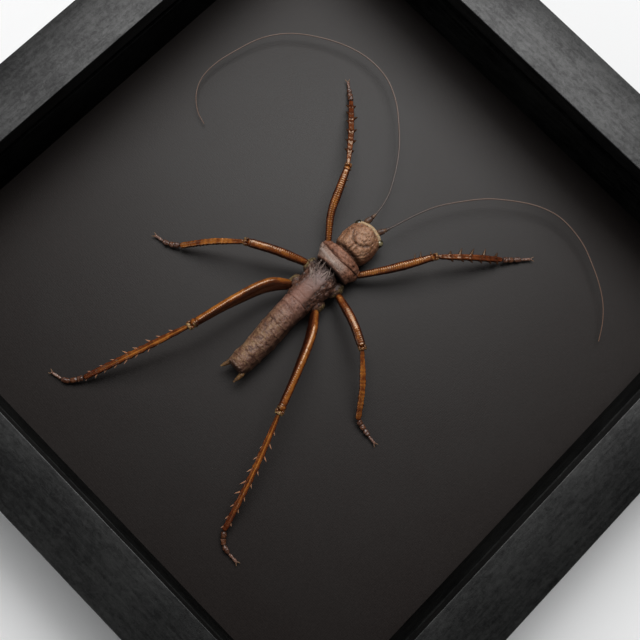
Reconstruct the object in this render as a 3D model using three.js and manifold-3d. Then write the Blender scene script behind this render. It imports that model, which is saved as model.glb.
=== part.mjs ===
// A large wingless cricket in a square black box frame, lying on its back. Its feet are glued to a
// charcoal board under glass. Millimetres. +Z points out through the glass, +Y the way the head
// points, and the origin is the middle of the frame's back.

import * as THREE from 'three';
import { mergeVertices } from 'three/addons/utils/BufferGeometryUtils.js';
import Module from 'manifold-3d';

const wasm = await Module();
wasm.setup();

// The frame
const FRAME_SIDE = 200;
const FRAME_DEPTH = 35;
const RAIL_FACE = 16.6;
const RAIL_WALL = 9;
const LIP_THICK = 5.5;
const ARRIS = 0.4;
const RECESS_DEPTH = 23.8;
const GLASS_THICK = 2;
const BOARD_THICK = 3;
const PANEL_THICK = 3;

// Play between pieces that touch, round the loose pieces in the rabbet, and in each mitre
const FIT = 0.1;
const SIDE_PLAY = 0.4;
const MITRE_PLAY = 0.05;

// Spring points that hold the back panel, and the saw-tooth hanger on it
const POINT_WIDTH = 14;
const POINT_LENGTH = 9;
const POINT_THICK = 0.6;
const POINT_GRIP = 3;
const POINT_SPREAD = 50;
const HANGER_LENGTH = 45;
const HANGER_HEIGHT = 9;
const HANGER_THICK = 1;
const HANGER_BOW = 1.1;
const HANGER_FOOT = 8;
const HANGER_TEETH = 9;
const HANGER_DROP = 12;
const RIVET_RADIUS = 1.6;
const RIVET_CROWN = 1.1;
const RIVET_PROUD = 0.4;

// Heights that follow from them
const LIP_BOTTOM = FRAME_DEPTH - LIP_THICK;
const GLASS_BOTTOM = LIP_BOTTOM - FIT - GLASS_THICK;
const BOARD_TOP = FRAME_DEPTH - RECESS_DEPTH;
const BOARD_BOTTOM = BOARD_TOP - BOARD_THICK;
const PANEL_BOTTOM = BOARD_BOTTOM - FIT - PANEL_THICK;
const HALF_SIDE = FRAME_SIDE / 2;
const HALF_OPENING = HALF_SIDE - RAIL_FACE;
const HALF_RABBET = HALF_SIDE - RAIL_WALL - SIDE_PLAY;

// Play between two joints of the insect, where a skin once joined them
const JOINT_PLAY = 0.12;

// The insect's legs, by joint. Each point is millimetres from the middle of the board's face. A hind
// thigh leans, so that its upper edge is turned outwards and its inner face shows from above. The
// long thorns stand on a front leg's inner side: `inner` is that side, 1 to the right of the way the
// leg points and -1 to the left, and `reach` is how long its thorns are beside the usual.
const LEGS = [
  {
    name: 'left_fore',
    kind: 'fore',
    inner: 1,
    reach: 0.7,
    lean: 0,
    femur: [[-5.6, 11.2, 4.2], [-11.3, 18.0, 6.6], [-14.6, 24.7, 8.2], [-17.4, 30.7, 9.0]],
    tibia: [[-24.1, 39.0, 6.0], [-32.2, 47.7, 2.0]],
    tarsus: [[-35.0, 49.9, 1.1], [-37.5, 51.8, 0.9]],
  },
  {
    name: 'right_fore',
    kind: 'fore',
    inner: -1,
    reach: 1.15,
    lean: 0,
    femur: [[6.4, 10.6, 4.2], [12.5, 19.4, 6.6], [18.5, 29.6, 8.6]],
    tibia: [[25.6, 37.6, 5.8], [32.5, 45.0, 2.0]],
    tarsus: [[35.3, 48.2, 1.1], [38.5, 51.9, 0.9]],
  },
  {
    name: 'left_middle',
    kind: 'middle',
    inner: 1,
    reach: 1,
    lean: 0,
    femur: [[-5.6, 3.2, 5.0], [-14.1, -1.3, 8.4], [-21.3, -5.6, 9.6]],
    tibia: [[-28.4, -11.6, 6.4], [-35.3, -18.8, 1.8]],
    tarsus: [[-38.6, -20.8, 1.1], [-42.7, -21.7, 0.9]],
  },
  {
    name: 'right_middle',
    kind: 'middle',
    inner: -1,
    reach: 1,
    lean: 0,
    femur: [[6.6, 2.8, 5.0], [15.4, -0.3, 8.6], [22.1, -3.6, 9.2]],
    tibia: [[29.6, -10.6, 6.4], [35.6, -17.8, 1.8]],
    tarsus: [[39.5, -18.5, 1.1], [43.7, -19.1, 0.9]],
  },
  {
    name: 'left_hind',
    kind: 'hind',
    inner: -1,
    reach: 1,
    lean: 0.6,
    femur: [[-4.4, -4.3, 5.0], [-8.5, -9.6, 8.0], [-11.7, -19.5, 10.0], [-14.9, -33.0, 11.0]],
    tibia: [[-20.3, -48.0, 7.2], [-26.3, -63.8, 2.0]],
    tarsus: [[-29.3, -67.8, 1.1], [-34.1, -69.2, 0.9]],
  },
  {
    name: 'right_hind',
    kind: 'hind',
    inner: 1,
    reach: 1,
    lean: -0.6,
    femur: [[5.3, -4.8, 5.0], [9.8, -11.2, 8.0], [14.0, -20.1, 10.0], [18.9, -32.2, 11.0]],
    tibia: [[25.3, -48.2, 7.2], [31.0, -65.3, 2.0]],
    tarsus: [[33.9, -68.1, 1.1], [39.7, -68.8, 0.9]],
  },
];

// Sizes of each kind of leg. A row is [share of the length, width, height], and a thorn row is
// [share of the length, length].
const LEG_KINDS = {
  fore: {
    femur: [
      [0, 1.5, 1.5], [0.06, 1.9, 2.1], [0.3, 2.3, 2.6], [0.6, 2.7, 2.8], [0.8, 2.4, 2.5], [0.93, 2.1, 2.1],
    ],
    knee: 2.6,
    tibia: [[0, 1, 1.1], [0.08, 1.3, 1.5], [0.3, 1.7, 1.6], [0.75, 1.8, 1.6], [1, 1.3, 1.3]],
    thighThorns: [[0.74, 1.8], [0.82, 1.8], [0.95, 1.2]],
    innerThorns: [[0.2, 1.2], [0.34, 1.9], [0.5, 2.1], [0.7, 2.1], [0.88, 1.5]],
    outerThorns: [[0.22, 0.9], [0.36, 0.9], [0.5, 1], [0.64, 1], [0.78, 1], [0.9, 0.9]],
  },
  middle: {
    femur: [[0, 1.6, 1.7], [0.06, 2.2, 2.4], [0.3, 2.7, 2.9], [0.7, 2.7, 2.8], [0.93, 2.6, 2.3]],
    knee: 2.9,
    tibia: [[0, 1, 1.1], [0.06, 1.3, 1.4], [0.4, 1.7, 1.6], [0.8, 1.7, 1.5], [1, 1.5, 1.3]],
    thighThorns: [],
    innerThorns: [[0.3, 0.6], [0.45, 0.6], [0.6, 0.7], [0.75, 0.7], [0.9, 0.7]],
    outerThorns: [[0.35, 0.6], [0.5, 0.6], [0.65, 0.7], [0.8, 0.7], [0.93, 0.7]],
  },
  hind: {
    femur: [
      [0, 1.6, 1.8], [0.05, 2.4, 3.6], [0.2, 2.8, 4.8], [0.45, 2.6, 4], [0.75, 2.3, 2.8], [0.94, 2.3, 2.2],
    ],
    knee: 3.1,
    tibia: [[0, 1, 1.2], [0.05, 1.4, 1.6], [0.3, 1.8, 1.5], [0.8, 1.7, 1.4], [1, 1.4, 1.3]],
    thighThorns: [],
    innerThorns: [
      [0.27, 1], [0.36, 1.3], [0.46, 1.6], [0.56, 1.9], [0.66, 1.6], [0.76, 1.5], [0.86, 1.3], [0.95, 1],
    ],
    outerThorns: [
      [0.14, 1], [0.24, 1.4], [0.34, 1.4], [0.45, 1.4], [0.56, 1.3], [0.67, 1.3], [0.78, 1.1], [0.9, 1],
    ],
  },
};

// The antennae, from the head out to the tip
const LEFT_ANTENNA = [
  [-2.5, 22.6, 6.4], [-2.1, 26.6, 7.0], [-3.3, 32.7, 6.5], [-6.2, 38.7, 6.0], [-11.2, 46.1, 5.0],
  [-16.5, 51.6, 4.5], [-22.4, 56.5, 4.0], [-29.4, 59.9, 3.5], [-37.1, 60.6, 3.2], [-44.1, 59.1, 3.0],
  [-52.0, 55.3, 2.8], [-59.7, 49.3, 2.7], [-64.4, 42.3, 2.6], [-66.8, 34.5, 2.4], [-68.2, 26.2, 2.2],
  [-67.6, 20.4, 2.0], [-65.1, 16.0, 1.8], [-61.0, 12.8, 1.5], [-57.2, 11.6, 1.2],
];
const RIGHT_ANTENNA = [
  [1.9, 22.8, 6.4], [3.4, 26.1, 7.0], [4.5, 30.1, 6.6], [6.0, 35.3, 6.2], [8.3, 41.3, 5.8],
  [12.4, 48.1, 5.2], [17.1, 54.3, 4.8], [22.4, 59.1, 4.5], [27.3, 62.7, 4.2], [31.5, 64.8, 4.0],
  [35.8, 66.0, 3.8], [41.1, 66.0, 3.5], [46.5, 65.0, 3.2], [52.0, 62.7, 3.0], [57.2, 60.0, 2.8],
  [61.8, 56.8, 2.4], [65.6, 52.7, 2.0], [68.7, 47.8, 1.5],
];
const SCAPE_LENGTH = 3.4;
const ANTENNA_WIDTH = 0.62;
const ANTENNA_TIP_WIDTH = 0.24;
const ANTENNA_STEPS = 2.5;

// Rows of [how far along, middle x, middle height, half width, half height] for the body's pieces
const HEAD = [
  [23.8, 0.3, 4.5, 1.7, 2.0], [23.4, 0.3, 4.6, 3.0, 3.0], [22.5, 0.3, 4.9, 4.2, 4.0],
  [21.2, 0.3, 5.0, 4.9, 4.6], [19.4, 0.3, 5.1, 5.3, 4.9], [17.2, 0.4, 5.2, 5.6, 5.0],
  [15.0, 0.4, 5.3, 5.4, 4.9], [13.6, 0.3, 5.4, 5.0, 4.6], [12.7, 0.3, 5.4, 4.3, 4.0],
];
const PRONOTUM = [
  [12.4, 0.3, 5.4, 5.0, 4.7], [11.7, 0.2, 5.5, 6.0, 5.2], [10.4, 0.1, 5.5, 6.3, 5.4],
  [9.2, 0.2, 5.5, 6.1, 5.3], [8.8, 0.2, 5.5, 6.2, 5.4], [7.0, 0.4, 5.5, 5.9, 5.2],
  [6.3, 0.5, 5.5, 5.5, 4.9], [6.0, 0.5, 5.5, 4.8, 4.3],
];
const THORAX = [
  [5.6, 0.4, 5.4, 3.6, 3.6], [4.8, 0.4, 5.4, 4.4, 4.2], [3.2, 0.4, 5.4, 4.9, 4.6],
  [0.8, 0.4, 5.4, 5.0, 4.7], [-1.4, 0.4, 5.4, 4.8, 4.6], [-4.4, 0.3, 5.3, 4.6, 4.4],
  [-6.3, 0.3, 5.2, 4.3, 4.2], [-6.8, 0.4, 5.2, 3.9, 3.8],
];
const ABDOMEN = [
  [-7.1, 0.4, 5.1, 4.1, 4.0], [-10.0, 0.5, 5.1, 3.9, 3.9], [-14.0, 0.6, 5.0, 3.85, 3.8],
  [-18.0, 0.9, 4.9, 3.85, 3.7], [-22.0, 1.2, 4.7, 3.7, 3.6], [-26.0, 1.4, 4.6, 3.5, 3.4],
  [-30.0, 1.3, 4.4, 3.3, 3.2], [-32.4, 1.2, 4.3, 2.6, 2.4],
];
const ABDOMEN_RINGS = 9;
const RING_STEP = 0.05;
const LOBE_ANGLE = 0.55;
const LOBE_SWELL = 0.03;
const FURROW_DEPTH = 0.05;

// Lumps on the body: [middle x, y and height, half width, half length, half height]
const EYES = [[-3.7, 21.6, 5.4, 1.1, 1.4, 1.6], [4.5, 21.6, 5.4, 1.1, 1.4, 1.6]];
const FRONT_SOCKETS = [[-5.0, 10.6, 4.0, 2.3, 2.3, 2.3], [5.2, 10.2, 4.0, 2.0, 2.3, 2.3]];
const REAR_SOCKETS = [
  [-4.6, 3.4, 4.6, 1.9, 2.6, 2.5], [5.3, 3.4, 4.4, 1.8, 2.6, 2.4],
  [-4.3, -2.9, 4.4, 2.0, 2.4, 2.5], [4.7, -3.6, 4.3, 2.0, 2.4, 2.4],
];

const group = new THREE.Group();
const insect = new THREE.Group();
insect.position.z = BOARD_TOP;
group.add(insect);

const UP = new THREE.Vector3(0, 0, 1);
const FORWARD = new THREE.Vector3(0, 1, 0);
const LEFTWARD = new THREE.Vector3(-1, 0, 0);

function finish(color, roughness, metalness = 0) {
  return () => new THREE.MeshStandardMaterial({ color, roughness, metalness });
}

const blackWood = finish(0x26282a, 0.6);
const clearGlass = finish(0xdfe8e6, 0.05);
const charcoalPaper = finish(0x45413f, 0.95);
const hardboard = finish(0x6d4f35, 0.85);
const springSteel = finish(0x8c8f92, 0.4, 1);
const brownCuticle = finish(0x6b4a38, 0.7);
const paleCuticle = finish(0x9c785d, 0.65);
const amberCuticle = finish(0x9a5a22, 0.3);
const darkAmber = finish(0x5c3218, 0.4);
const antennaTan = finish(0x8a6446, 0.5);

// Turns a closed three.js geometry into a solid, leaving out the slivers at its poles.
function solid(geometry) {
  const bare = geometry.clone();
  bare.deleteAttribute('normal');
  bare.deleteAttribute('uv');
  const merged = mergeVertices(bare, 1e-5);
  const index = merged.index.array;
  const faces = [];
  for (let i = 0; i < index.length; i += 3) {
    const [a, b, c] = [index[i], index[i + 1], index[i + 2]];
    if (a !== b && b !== c && c !== a) faces.push(a, b, c);
  }
  const inner = new wasm.Mesh({
    numProp: 3,
    vertProperties: new Float32Array(merged.attributes.position.array),
    triVerts: new Uint32Array(faces),
  });
  return new wasm.Manifold(inner);
}

function fuse(pieces) {
  return pieces.reduce((whole, piece) => whole.add(piece));
}

function addPiece(parent, name, body, material) {
  const { vertProperties, triVerts } = body.getMesh();
  const geometry = new THREE.BufferGeometry();
  geometry.setAttribute('position', new THREE.BufferAttribute(vertProperties, 3));
  geometry.setIndex(new THREE.BufferAttribute(triVerts, 1));
  geometry.computeVertexNormals();
  const mesh = new THREE.Mesh(geometry, material());
  mesh.name = name;
  parent.add(mesh);
}

function block(width, depth, height, x, y, bottom) {
  const box = new THREE.BoxGeometry(width, depth, height);
  box.translate(x, y, bottom + height / 2);
  return solid(box);
}

// One rail of the frame along the bottom side: an L-shaped stick with a flat face and mitred ends.
// Its two slots take the spring points that hold the back in.
function railSolid() {
  const outline = new THREE.Shape();
  outline.moveTo(0, 0);
  outline.lineTo(RAIL_WALL, 0);
  outline.lineTo(RAIL_WALL, LIP_BOTTOM);
  outline.lineTo(RAIL_FACE, LIP_BOTTOM);
  outline.lineTo(RAIL_FACE, FRAME_DEPTH - ARRIS);
  outline.lineTo(RAIL_FACE - ARRIS, FRAME_DEPTH);
  outline.lineTo(ARRIS, FRAME_DEPTH);
  outline.lineTo(0, FRAME_DEPTH - ARRIS);
  const stick = new THREE.ExtrudeGeometry(outline, { depth: 1, bevelEnabled: false });
  const position = stick.attributes.position;
  for (let i = 0; i < position.count; i += 1) {
    const inward = position.getX(i);
    const height = position.getY(i);
    const end = position.getZ(i) > 0.5 ? 1 : -1;
    position.setXYZ(i, end * (HALF_SIDE - inward - MITRE_PLAY), inward - HALF_SIDE, height);
  }
  const slots = [-POINT_SPREAD, POINT_SPREAD].map((x) => block(
    POINT_WIDTH + 2 * FIT,
    POINT_GRIP + 2 * FIT,
    POINT_THICK + 2 * FIT,
    x,
    RAIL_WALL - HALF_SIDE - POINT_GRIP / 2,
    PANEL_BOTTOM - 2 * FIT - POINT_THICK - FIT,
  ));
  return solid(stick).subtract(fuse(slots));
}

function pointSolid(x) {
  const y = RAIL_WALL - POINT_GRIP + POINT_LENGTH / 2 - HALF_SIDE;
  const bottom = PANEL_BOTTOM - 2 * FIT - POINT_THICK;
  return block(POINT_WIDTH, POINT_LENGTH, POINT_THICK, x, y, bottom);
}

['bottom', 'right', 'top', 'left'].forEach((side, turn) => {
  const degrees = [0, 0, 90 * turn];
  addPiece(group, `frame_rail_${side}`, railSolid().rotate(degrees), blackWood);
  [-1, 1].forEach((end, i) => {
    const point = pointSolid(end * POINT_SPREAD).rotate(degrees);
    addPiece(group, `spring_point_${side}_${i + 1}`, point, springSteel);
  });
});

// Glass against the lip, spacers round the recess, the board that carries the insect, and the back
const spacerHeight = GLASS_BOTTOM - FIT - BOARD_TOP - FIT;
const spacerWidth = HALF_RABBET - HALF_OPENING;
const shortSpacer = 2 * (HALF_OPENING - FIT);
const rabbetSide = 2 * HALF_RABBET;

function fullPane(thickness, bottom) {
  return block(rabbetSide, rabbetSide, thickness, 0, 0, bottom);
}
addPiece(group, 'glass_pane', fullPane(GLASS_THICK, GLASS_BOTTOM), clearGlass);
addPiece(group, 'backing_board', fullPane(BOARD_THICK, BOARD_BOTTOM), charcoalPaper);
addPiece(group, 'back_panel', fullPane(PANEL_THICK, PANEL_BOTTOM), hardboard);
[['bottom', -1], ['top', 1]].forEach(([side, way]) => {
  const y = way * (HALF_OPENING + spacerWidth / 2);
  const strip = block(rabbetSide, spacerWidth, spacerHeight, 0, y, BOARD_TOP + FIT);
  addPiece(group, `spacer_${side}`, strip, blackWood);
});
[['left', -1], ['right', 1]].forEach(([side, way]) => {
  const x = way * (HALF_OPENING + spacerWidth / 2);
  const strip = block(spacerWidth, shortSpacer, spacerHeight, x, 0, BOARD_TOP + FIT);
  addPiece(group, `spacer_${side}`, strip, blackWood);
});

// A bowed steel strip with teeth along its lower edge, riveted to the back panel at both ends
function hangerSolid() {
  const outline = new THREE.Shape();
  const half = HANGER_LENGTH / 2;
  const toothed = HANGER_LENGTH - 2 * HANGER_FOOT;
  const pitch = toothed / HANGER_TEETH;
  outline.moveTo(-half, 0);
  outline.lineTo(HANGER_FOOT - half, 0);
  for (let i = 0; i < HANGER_TEETH; i += 1) {
    const start = HANGER_FOOT - half + i * pitch;
    outline.lineTo(start + pitch / 2, pitch / 2);
    outline.lineTo(start + pitch, 0);
  }
  outline.lineTo(half, 0);
  outline.lineTo(half, HANGER_HEIGHT);
  outline.lineTo(-half, HANGER_HEIGHT);
  const middleY = HALF_OPENING - HANGER_DROP;
  const top = PANEL_BOTTOM - FIT;
  const strip = new THREE.ExtrudeGeometry(outline, { depth: HANGER_THICK, bevelEnabled: false });
  strip.translate(0, middleY - HANGER_HEIGHT / 2, top - HANGER_BOW - HANGER_THICK);
  const bottom = top - HANGER_BOW - HANGER_THICK;
  const feet = [-1, 1].map((way) => {
    const x = way * (half - HANGER_FOOT / 2);
    return block(HANGER_FOOT, HANGER_HEIGHT, top - bottom, x, middleY, bottom);
  });
  const rivets = [-1, 1].map((way) => {
    const head = new THREE.CylinderGeometry(RIVET_RADIUS, RIVET_CROWN, HANGER_THICK, 12);
    head.rotateX(Math.PI / 2);
    const x = way * (half - HANGER_FOOT / 2);
    head.translate(x, middleY, bottom - RIVET_PROUD);
    return solid(head);
  });
  return fuse([solid(strip), ...feet, ...rivets]);
}
addPiece(group, 'sawtooth_hanger', hangerSolid(), springSteel);

// A closed body through a row of elliptical rings with flat ends. The relief swells or sinks a
// point of ring j at its angle round the ring, where a quarter turn is straight up.
function loft(rings, sides, relief = () => 1) {
  const profile = [new THREE.Vector2(0, 0)];
  rings.forEach((ring, j) => profile.push(new THREE.Vector2(1, j)));
  profile.push(new THREE.Vector2(0, rings.length - 1));
  const blank = new THREE.LatheGeometry(profile, sides);
  const position = blank.attributes.position;
  for (let i = 0; i < position.count; i += 1) {
    const j = Math.round(position.getY(i));
    const across = position.getX(i);
    const up = position.getZ(i);
    const ring = rings[j];
    const swell = relief(j, Math.atan2(up, across));
    const point = ring.middle.clone();
    point.addScaledVector(ring.side, across * ring.halfWidth * swell);
    point.addScaledVector(ring.up, up * ring.halfHeight * swell);
    position.setXYZ(i, point.x, point.y, point.z);
  }
  return solid(blank);
}

// Rings across a curve, from rows of [share of the length, width, height]. A lean turns their upper
// edge towards the curve's right-hand side.
function ringsAlong(curve, rows, extra = 0, lean = 0) {
  return rows.map(([share, width, height]) => {
    const along = curve.getTangentAt(share);
    const side = new THREE.Vector3().crossVectors(along, UP).normalize();
    side.applyAxisAngle(along, lean);
    return {
      middle: curve.getPointAt(share),
      side,
      up: new THREE.Vector3().crossVectors(side, along),
      halfWidth: width / 2 + extra,
      halfHeight: height / 2 + extra,
    };
  });
}

// Rings across the body's straight axis, front to rear
function bodyRings(rows, extra = 0) {
  const rings = rows.map(([y, x, z, halfWidth, halfHeight]) => ({
    middle: new THREE.Vector3(x, y, z),
    side: LEFTWARD,
    up: UP,
    halfWidth: halfWidth + extra,
    halfHeight: halfHeight + extra,
  }));
  rings[0].middle.y += extra;
  rings[rings.length - 1].middle.y -= extra;
  return rings;
}

function curveThrough(points) {
  return new THREE.CatmullRomCurve3(points.map((p) => new THREE.Vector3(...p)), false, 'centripetal');
}

function egg([x, y, z, halfWidth, halfLength, halfHeight], extra = 0, facets = 8) {
  const shape = new THREE.SphereGeometry(1, facets, Math.round(facets * 0.6));
  shape.scale(halfWidth + extra, halfLength + extra, halfHeight + extra);
  shape.translate(x, y, z);
  return solid(shape);
}

// A five-sided thorn whose root is sunk in what it grows from
function thorn(root, direction, length, width) {
  const cone = new THREE.ConeGeometry(width / 2, length, 5);
  cone.translate(0, length / 2, 0);
  cone.applyQuaternion(new THREE.Quaternion().setFromUnitVectors(FORWARD, direction));
  cone.translate(root.x, root.y, root.z);
  return solid(cone);
}

// How strongly a value lies near a centre, from 0 to 1
function bump(value, centre, spread) {
  return Math.exp(-(((value - centre) / spread) ** 2));
}

// The head: two lobes with a furrow between them along the top, and an eye on each cheek
function headSolid(extra = 0) {
  const skull = loft(bodyRings(HEAD, extra), 24, (j, angle) => {
    const inner = j > 2 && j < HEAD.length - 1 ? 1 : 0;
    const furrow = bump(angle, Math.PI / 2, 0.2);
    const lobes = bump(Math.abs(angle - Math.PI / 2), LOBE_ANGLE, 0.3);
    return 1 + inner * (LOBE_SWELL * lobes - FURROW_DEPTH * furrow);
  });
  return fuse([skull, ...EYES.map((eye) => egg(eye, extra))]);
}
addPiece(insect, 'head', headSolid(), paleCuticle);

// The collar behind the head, which carries the sockets of the front legs
function pronotumSolid(extra = 0) {
  const sockets = FRONT_SOCKETS.map((socket) => egg(socket, extra));
  return fuse([loft(bodyRings(PRONOTUM, extra), 24), ...sockets]);
}
addPiece(insect, 'pronotum', pronotumSolid(), paleCuticle);

// Dry torn skin between the collar and the thorax: short fibres that lie every way over the gap.
// They stand on an arc over the back, from one side of it to the other.
const FIBRES = 9;
const FIBRE_LENGTH = 2.6;
const FIBRE_WIDTH = 0.5;
const FIBRE_ROOT_Y = 3.6;
const FIBRE_ARC = { x: 0.4, z: 5.4, halfWidth: 3.6, height: 4.1, start: 0.55, sweep: 2.0 };
function fibreThorns() {
  const thorns = [];
  for (let i = 0; i < FIBRES; i += 1) {
    const angle = FIBRE_ARC.start + (i / (FIBRES - 1)) * FIBRE_ARC.sweep;
    const x = FIBRE_ARC.x - FIBRE_ARC.halfWidth * Math.cos(angle);
    const z = FIBRE_ARC.z + FIBRE_ARC.height * Math.sin(angle);
    const lean = Math.sin(i * 2.4) * 0.5;
    const direction = new THREE.Vector3(lean - Math.cos(angle) * 0.3, 0.55, Math.sin(angle) * 0.55);
    const length = FIBRE_LENGTH * (0.8 + 0.2 * Math.cos(i * 1.7));
    const root = new THREE.Vector3(x, FIBRE_ROOT_Y, z);
    thorns.push(thorn(root, direction.normalize(), length, FIBRE_WIDTH));
  }
  return thorns;
}

// The middle and rear thorax in one, with the lumpy sockets of four legs along its sides
function thoraxSolid(extra = 0) {
  const sockets = REAR_SOCKETS.map((socket) => egg(socket, extra));
  const tufts = extra > 0 ? [] : fibreThorns();
  return fuse([loft(bodyRings(THORAX, extra), 22), ...sockets, ...tufts]);
}
addPiece(insect, 'thorax', thoraxSolid().subtract(pronotumSolid(JOINT_PLAY)), brownCuticle);

// The abdomen: nine rings, each a little wider at its rear edge than the next one's front. The
// rows that give its outline are read at any y between them.
function abdomenRow(y, step) {
  const next = Math.max(1, ABDOMEN.findIndex((row) => row[0] <= y));
  const before = ABDOMEN[next - 1];
  const after = ABDOMEN[next];
  const share = (y - before[0]) / (after[0] - before[0]);
  const [x, z, halfWidth, halfHeight] = [1, 2, 3, 4].map((k) => before[k] + share * (after[k] - before[k]));
  return [y, x, z, halfWidth * step, halfHeight * step];
}
function abdomenRows() {
  const front = ABDOMEN[0][0];
  const rear = ABDOMEN[ABDOMEN.length - 1][0];
  const rows = [];
  for (let i = 0; i < ABDOMEN_RINGS; i += 1) {
    [[0, 1 - 2 * RING_STEP], [0.12, 1 - RING_STEP], [0.9, 1]].forEach(([part, step]) => {
      rows.push(abdomenRow(front + ((i + part) / ABDOMEN_RINGS) * (rear - front), step));
    });
  }
  rows.push(abdomenRow(rear, 1 - 2 * RING_STEP));
  return rows;
}
function abdomenSolid(extra = 0) {
  return loft(bodyRings(abdomenRows(), extra), 18);
}
addPiece(insect, 'abdomen', abdomenSolid(), brownCuticle);

// The two short tail feelers
const CERCUS_ROWS = [[0, 1.1, 1.1], [0.3, 1.5, 1.5], [0.7, 1.0, 1.0], [1, 0.3, 0.3]];
const CERCI = {
  left_cercus: [[-0.8, -31.0, 4.6], [-1.3, -32.8, 4.4], [-2.0, -34.7, 4.0]],
  right_cercus: [[3.8, -31.0, 4.6], [3.9, -33.2, 4.4], [3.7, -35.4, 4.0]],
};
Object.entries(CERCI).forEach(([name, points]) => {
  const cone = loft(ringsAlong(curveThrough(points), CERCUS_ROWS), 8);
  addPiece(insect, name, cone.subtract(abdomenSolid(JOINT_PLAY)), brownCuticle);
});

// An antenna: two thick joints at the head, then a long thread that tapers to its tip
function antennaSolid(points) {
  const curve = curveThrough(points);
  const scape = SCAPE_LENGTH / curve.getLength();
  const rows = [
    [0, 1.1, 1.1], [scape * 0.3, 1.5, 1.5], [scape * 0.75, 1.3, 1.3], [scape * 0.82, 0.9, 0.9],
    [scape * 0.95, 1.0, 1.0], [scape * 1.3, ANTENNA_WIDTH, ANTENNA_WIDTH],
  ];
  const steps = Math.round(ANTENNA_STEPS * points.length);
  for (let i = 1; i <= steps; i += 1) {
    const share = scape * 1.3 + (i / steps) * (1 - scape * 1.3);
    const width = ANTENNA_WIDTH + (ANTENNA_TIP_WIDTH - ANTENNA_WIDTH) * share;
    rows.push([Math.min(share, 1), width, width]);
  }
  return loft(ringsAlong(curve, rows), 5).subtract(headSolid(JOINT_PLAY));
}
addPiece(insect, 'left_antenna', antennaSolid(LEFT_ANTENNA), antennaTan);
addPiece(insect, 'right_antenna', antennaSolid(RIGHT_ANTENNA), antennaTan);

// A row of thorns up one side of a limb, leaning towards its foot. Rows are [share, length].
const THORN_WIDTH = 0.6;
const THORN_SINK = 0.7;
function sideThorns(curve, rows, side, forward, reach) {
  return rows.map(([share, length]) => {
    const [ring] = ringsAlong(curve, [[share, 1, 1]]);
    const direction = ring.side.clone().multiplyScalar(side);
    direction.addScaledVector(curve.getTangentAt(share), forward);
    direction.addScaledVector(ring.up, 0.25);
    return thorn(ring.middle, direction.normalize(), length * reach + THORN_SINK, THORN_WIDTH);
  });
}

// The two lobes of a thigh's end that hold the shin between them: half sizes beside the knee's width
const KNEE_LOBE = [0.19, 0.3, 0.3];
function kneeLobes(curve, width, extra) {
  const [end] = ringsAlong(curve, [[1, 1, 1]]);
  const along = curve.getTangentAt(1);
  return [-1, 1].map((way) => {
    const middle = end.middle.clone().addScaledVector(end.side, way * width * 0.36);
    middle.addScaledVector(along, KNEE_LOBE[1] * 0.4);
    return egg([...middle.toArray(), ...KNEE_LOBE.map((size) => size * width)], extra, 6);
  });
}
// A foot: four pads in a row and two claws. Rows are [share of the length, width].
const PAD_ROWS = [
  [0, 1.1], [0.08, 1.5], [0.36, 1.4], [0.4, 1.0], [0.5, 1.5], [0.62, 1.2], [0.68, 0.7], [0.95, 0.7],
  [1, 0.4],
];
const PAD_FLATNESS = 0.8;
const CLAW_LENGTH = 1.5;
const CLAW_WIDTH = 0.4;
function footSolid(curve) {
  const rows = PAD_ROWS.map(([share, width]) => [share, width, width * PAD_FLATNESS]);
  const [end] = ringsAlong(curve, [[0.95, 1, 1]]);
  const along = curve.getTangentAt(0.95);
  const claws = [-1, 1].map((way) => {
    const direction = along.clone().addScaledVector(end.side, way * 0.5).normalize();
    return thorn(end.middle, direction, CLAW_LENGTH, CLAW_WIDTH);
  });
  return fuse([loft(ringsAlong(curve, rows), 6), ...claws]);
}

LEGS.forEach((leg) => {
  const sizes = LEG_KINDS[leg.kind];
  const knee = leg.femur[leg.femur.length - 1];
  const ankle = leg.tibia[leg.tibia.length - 1];
  const thigh = curveThrough(leg.femur);
  const shin = curveThrough([knee, ...leg.tibia]);
  const foot = curveThrough([ankle, ...leg.tarsus]);
  const kneeRows = [[0.97, sizes.knee, sizes.knee * 0.85], [1, sizes.knee * 0.6, sizes.knee * 0.6]];
  const thighRows = [...sizes.femur, ...kneeRows];
  const thighBody = (extra) => fuse([
    loft(ringsAlong(thigh, thighRows, extra, leg.lean), 8),
    ...kneeLobes(thigh, sizes.knee, extra),
  ]);
  const thighThorns = sideThorns(thigh, sizes.thighThorns, leg.inner, 0.2, leg.reach);
  const shinThorns = [
    ...sideThorns(shin, sizes.innerThorns, leg.inner, 0.7, leg.reach),
    ...sideThorns(shin, sizes.outerThorns, -leg.inner, 0.7, leg.reach),
  ];
  const shinBody = (extra) => loft(ringsAlong(shin, sizes.tibia, extra), 6);
  const socket = leg.kind === 'fore' ? pronotumSolid(JOINT_PLAY) : thoraxSolid(JOINT_PLAY);
  const femur = fuse([thighBody(0), ...thighThorns]).subtract(socket);
  const tibia = fuse([shinBody(0), ...shinThorns]).subtract(thighBody(JOINT_PLAY));
  addPiece(insect, `${leg.name}_femur`, femur, amberCuticle);
  addPiece(insect, `${leg.name}_tibia`, tibia, amberCuticle);
  addPiece(insect, `${leg.name}_tarsus`, footSolid(foot).subtract(shinBody(JOINT_PLAY)), darkAmber);
});

export default group;
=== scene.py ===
import math
import random

import bmesh
import bpy
import numpy as np
from mathutils import Matrix, Vector, noise


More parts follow.
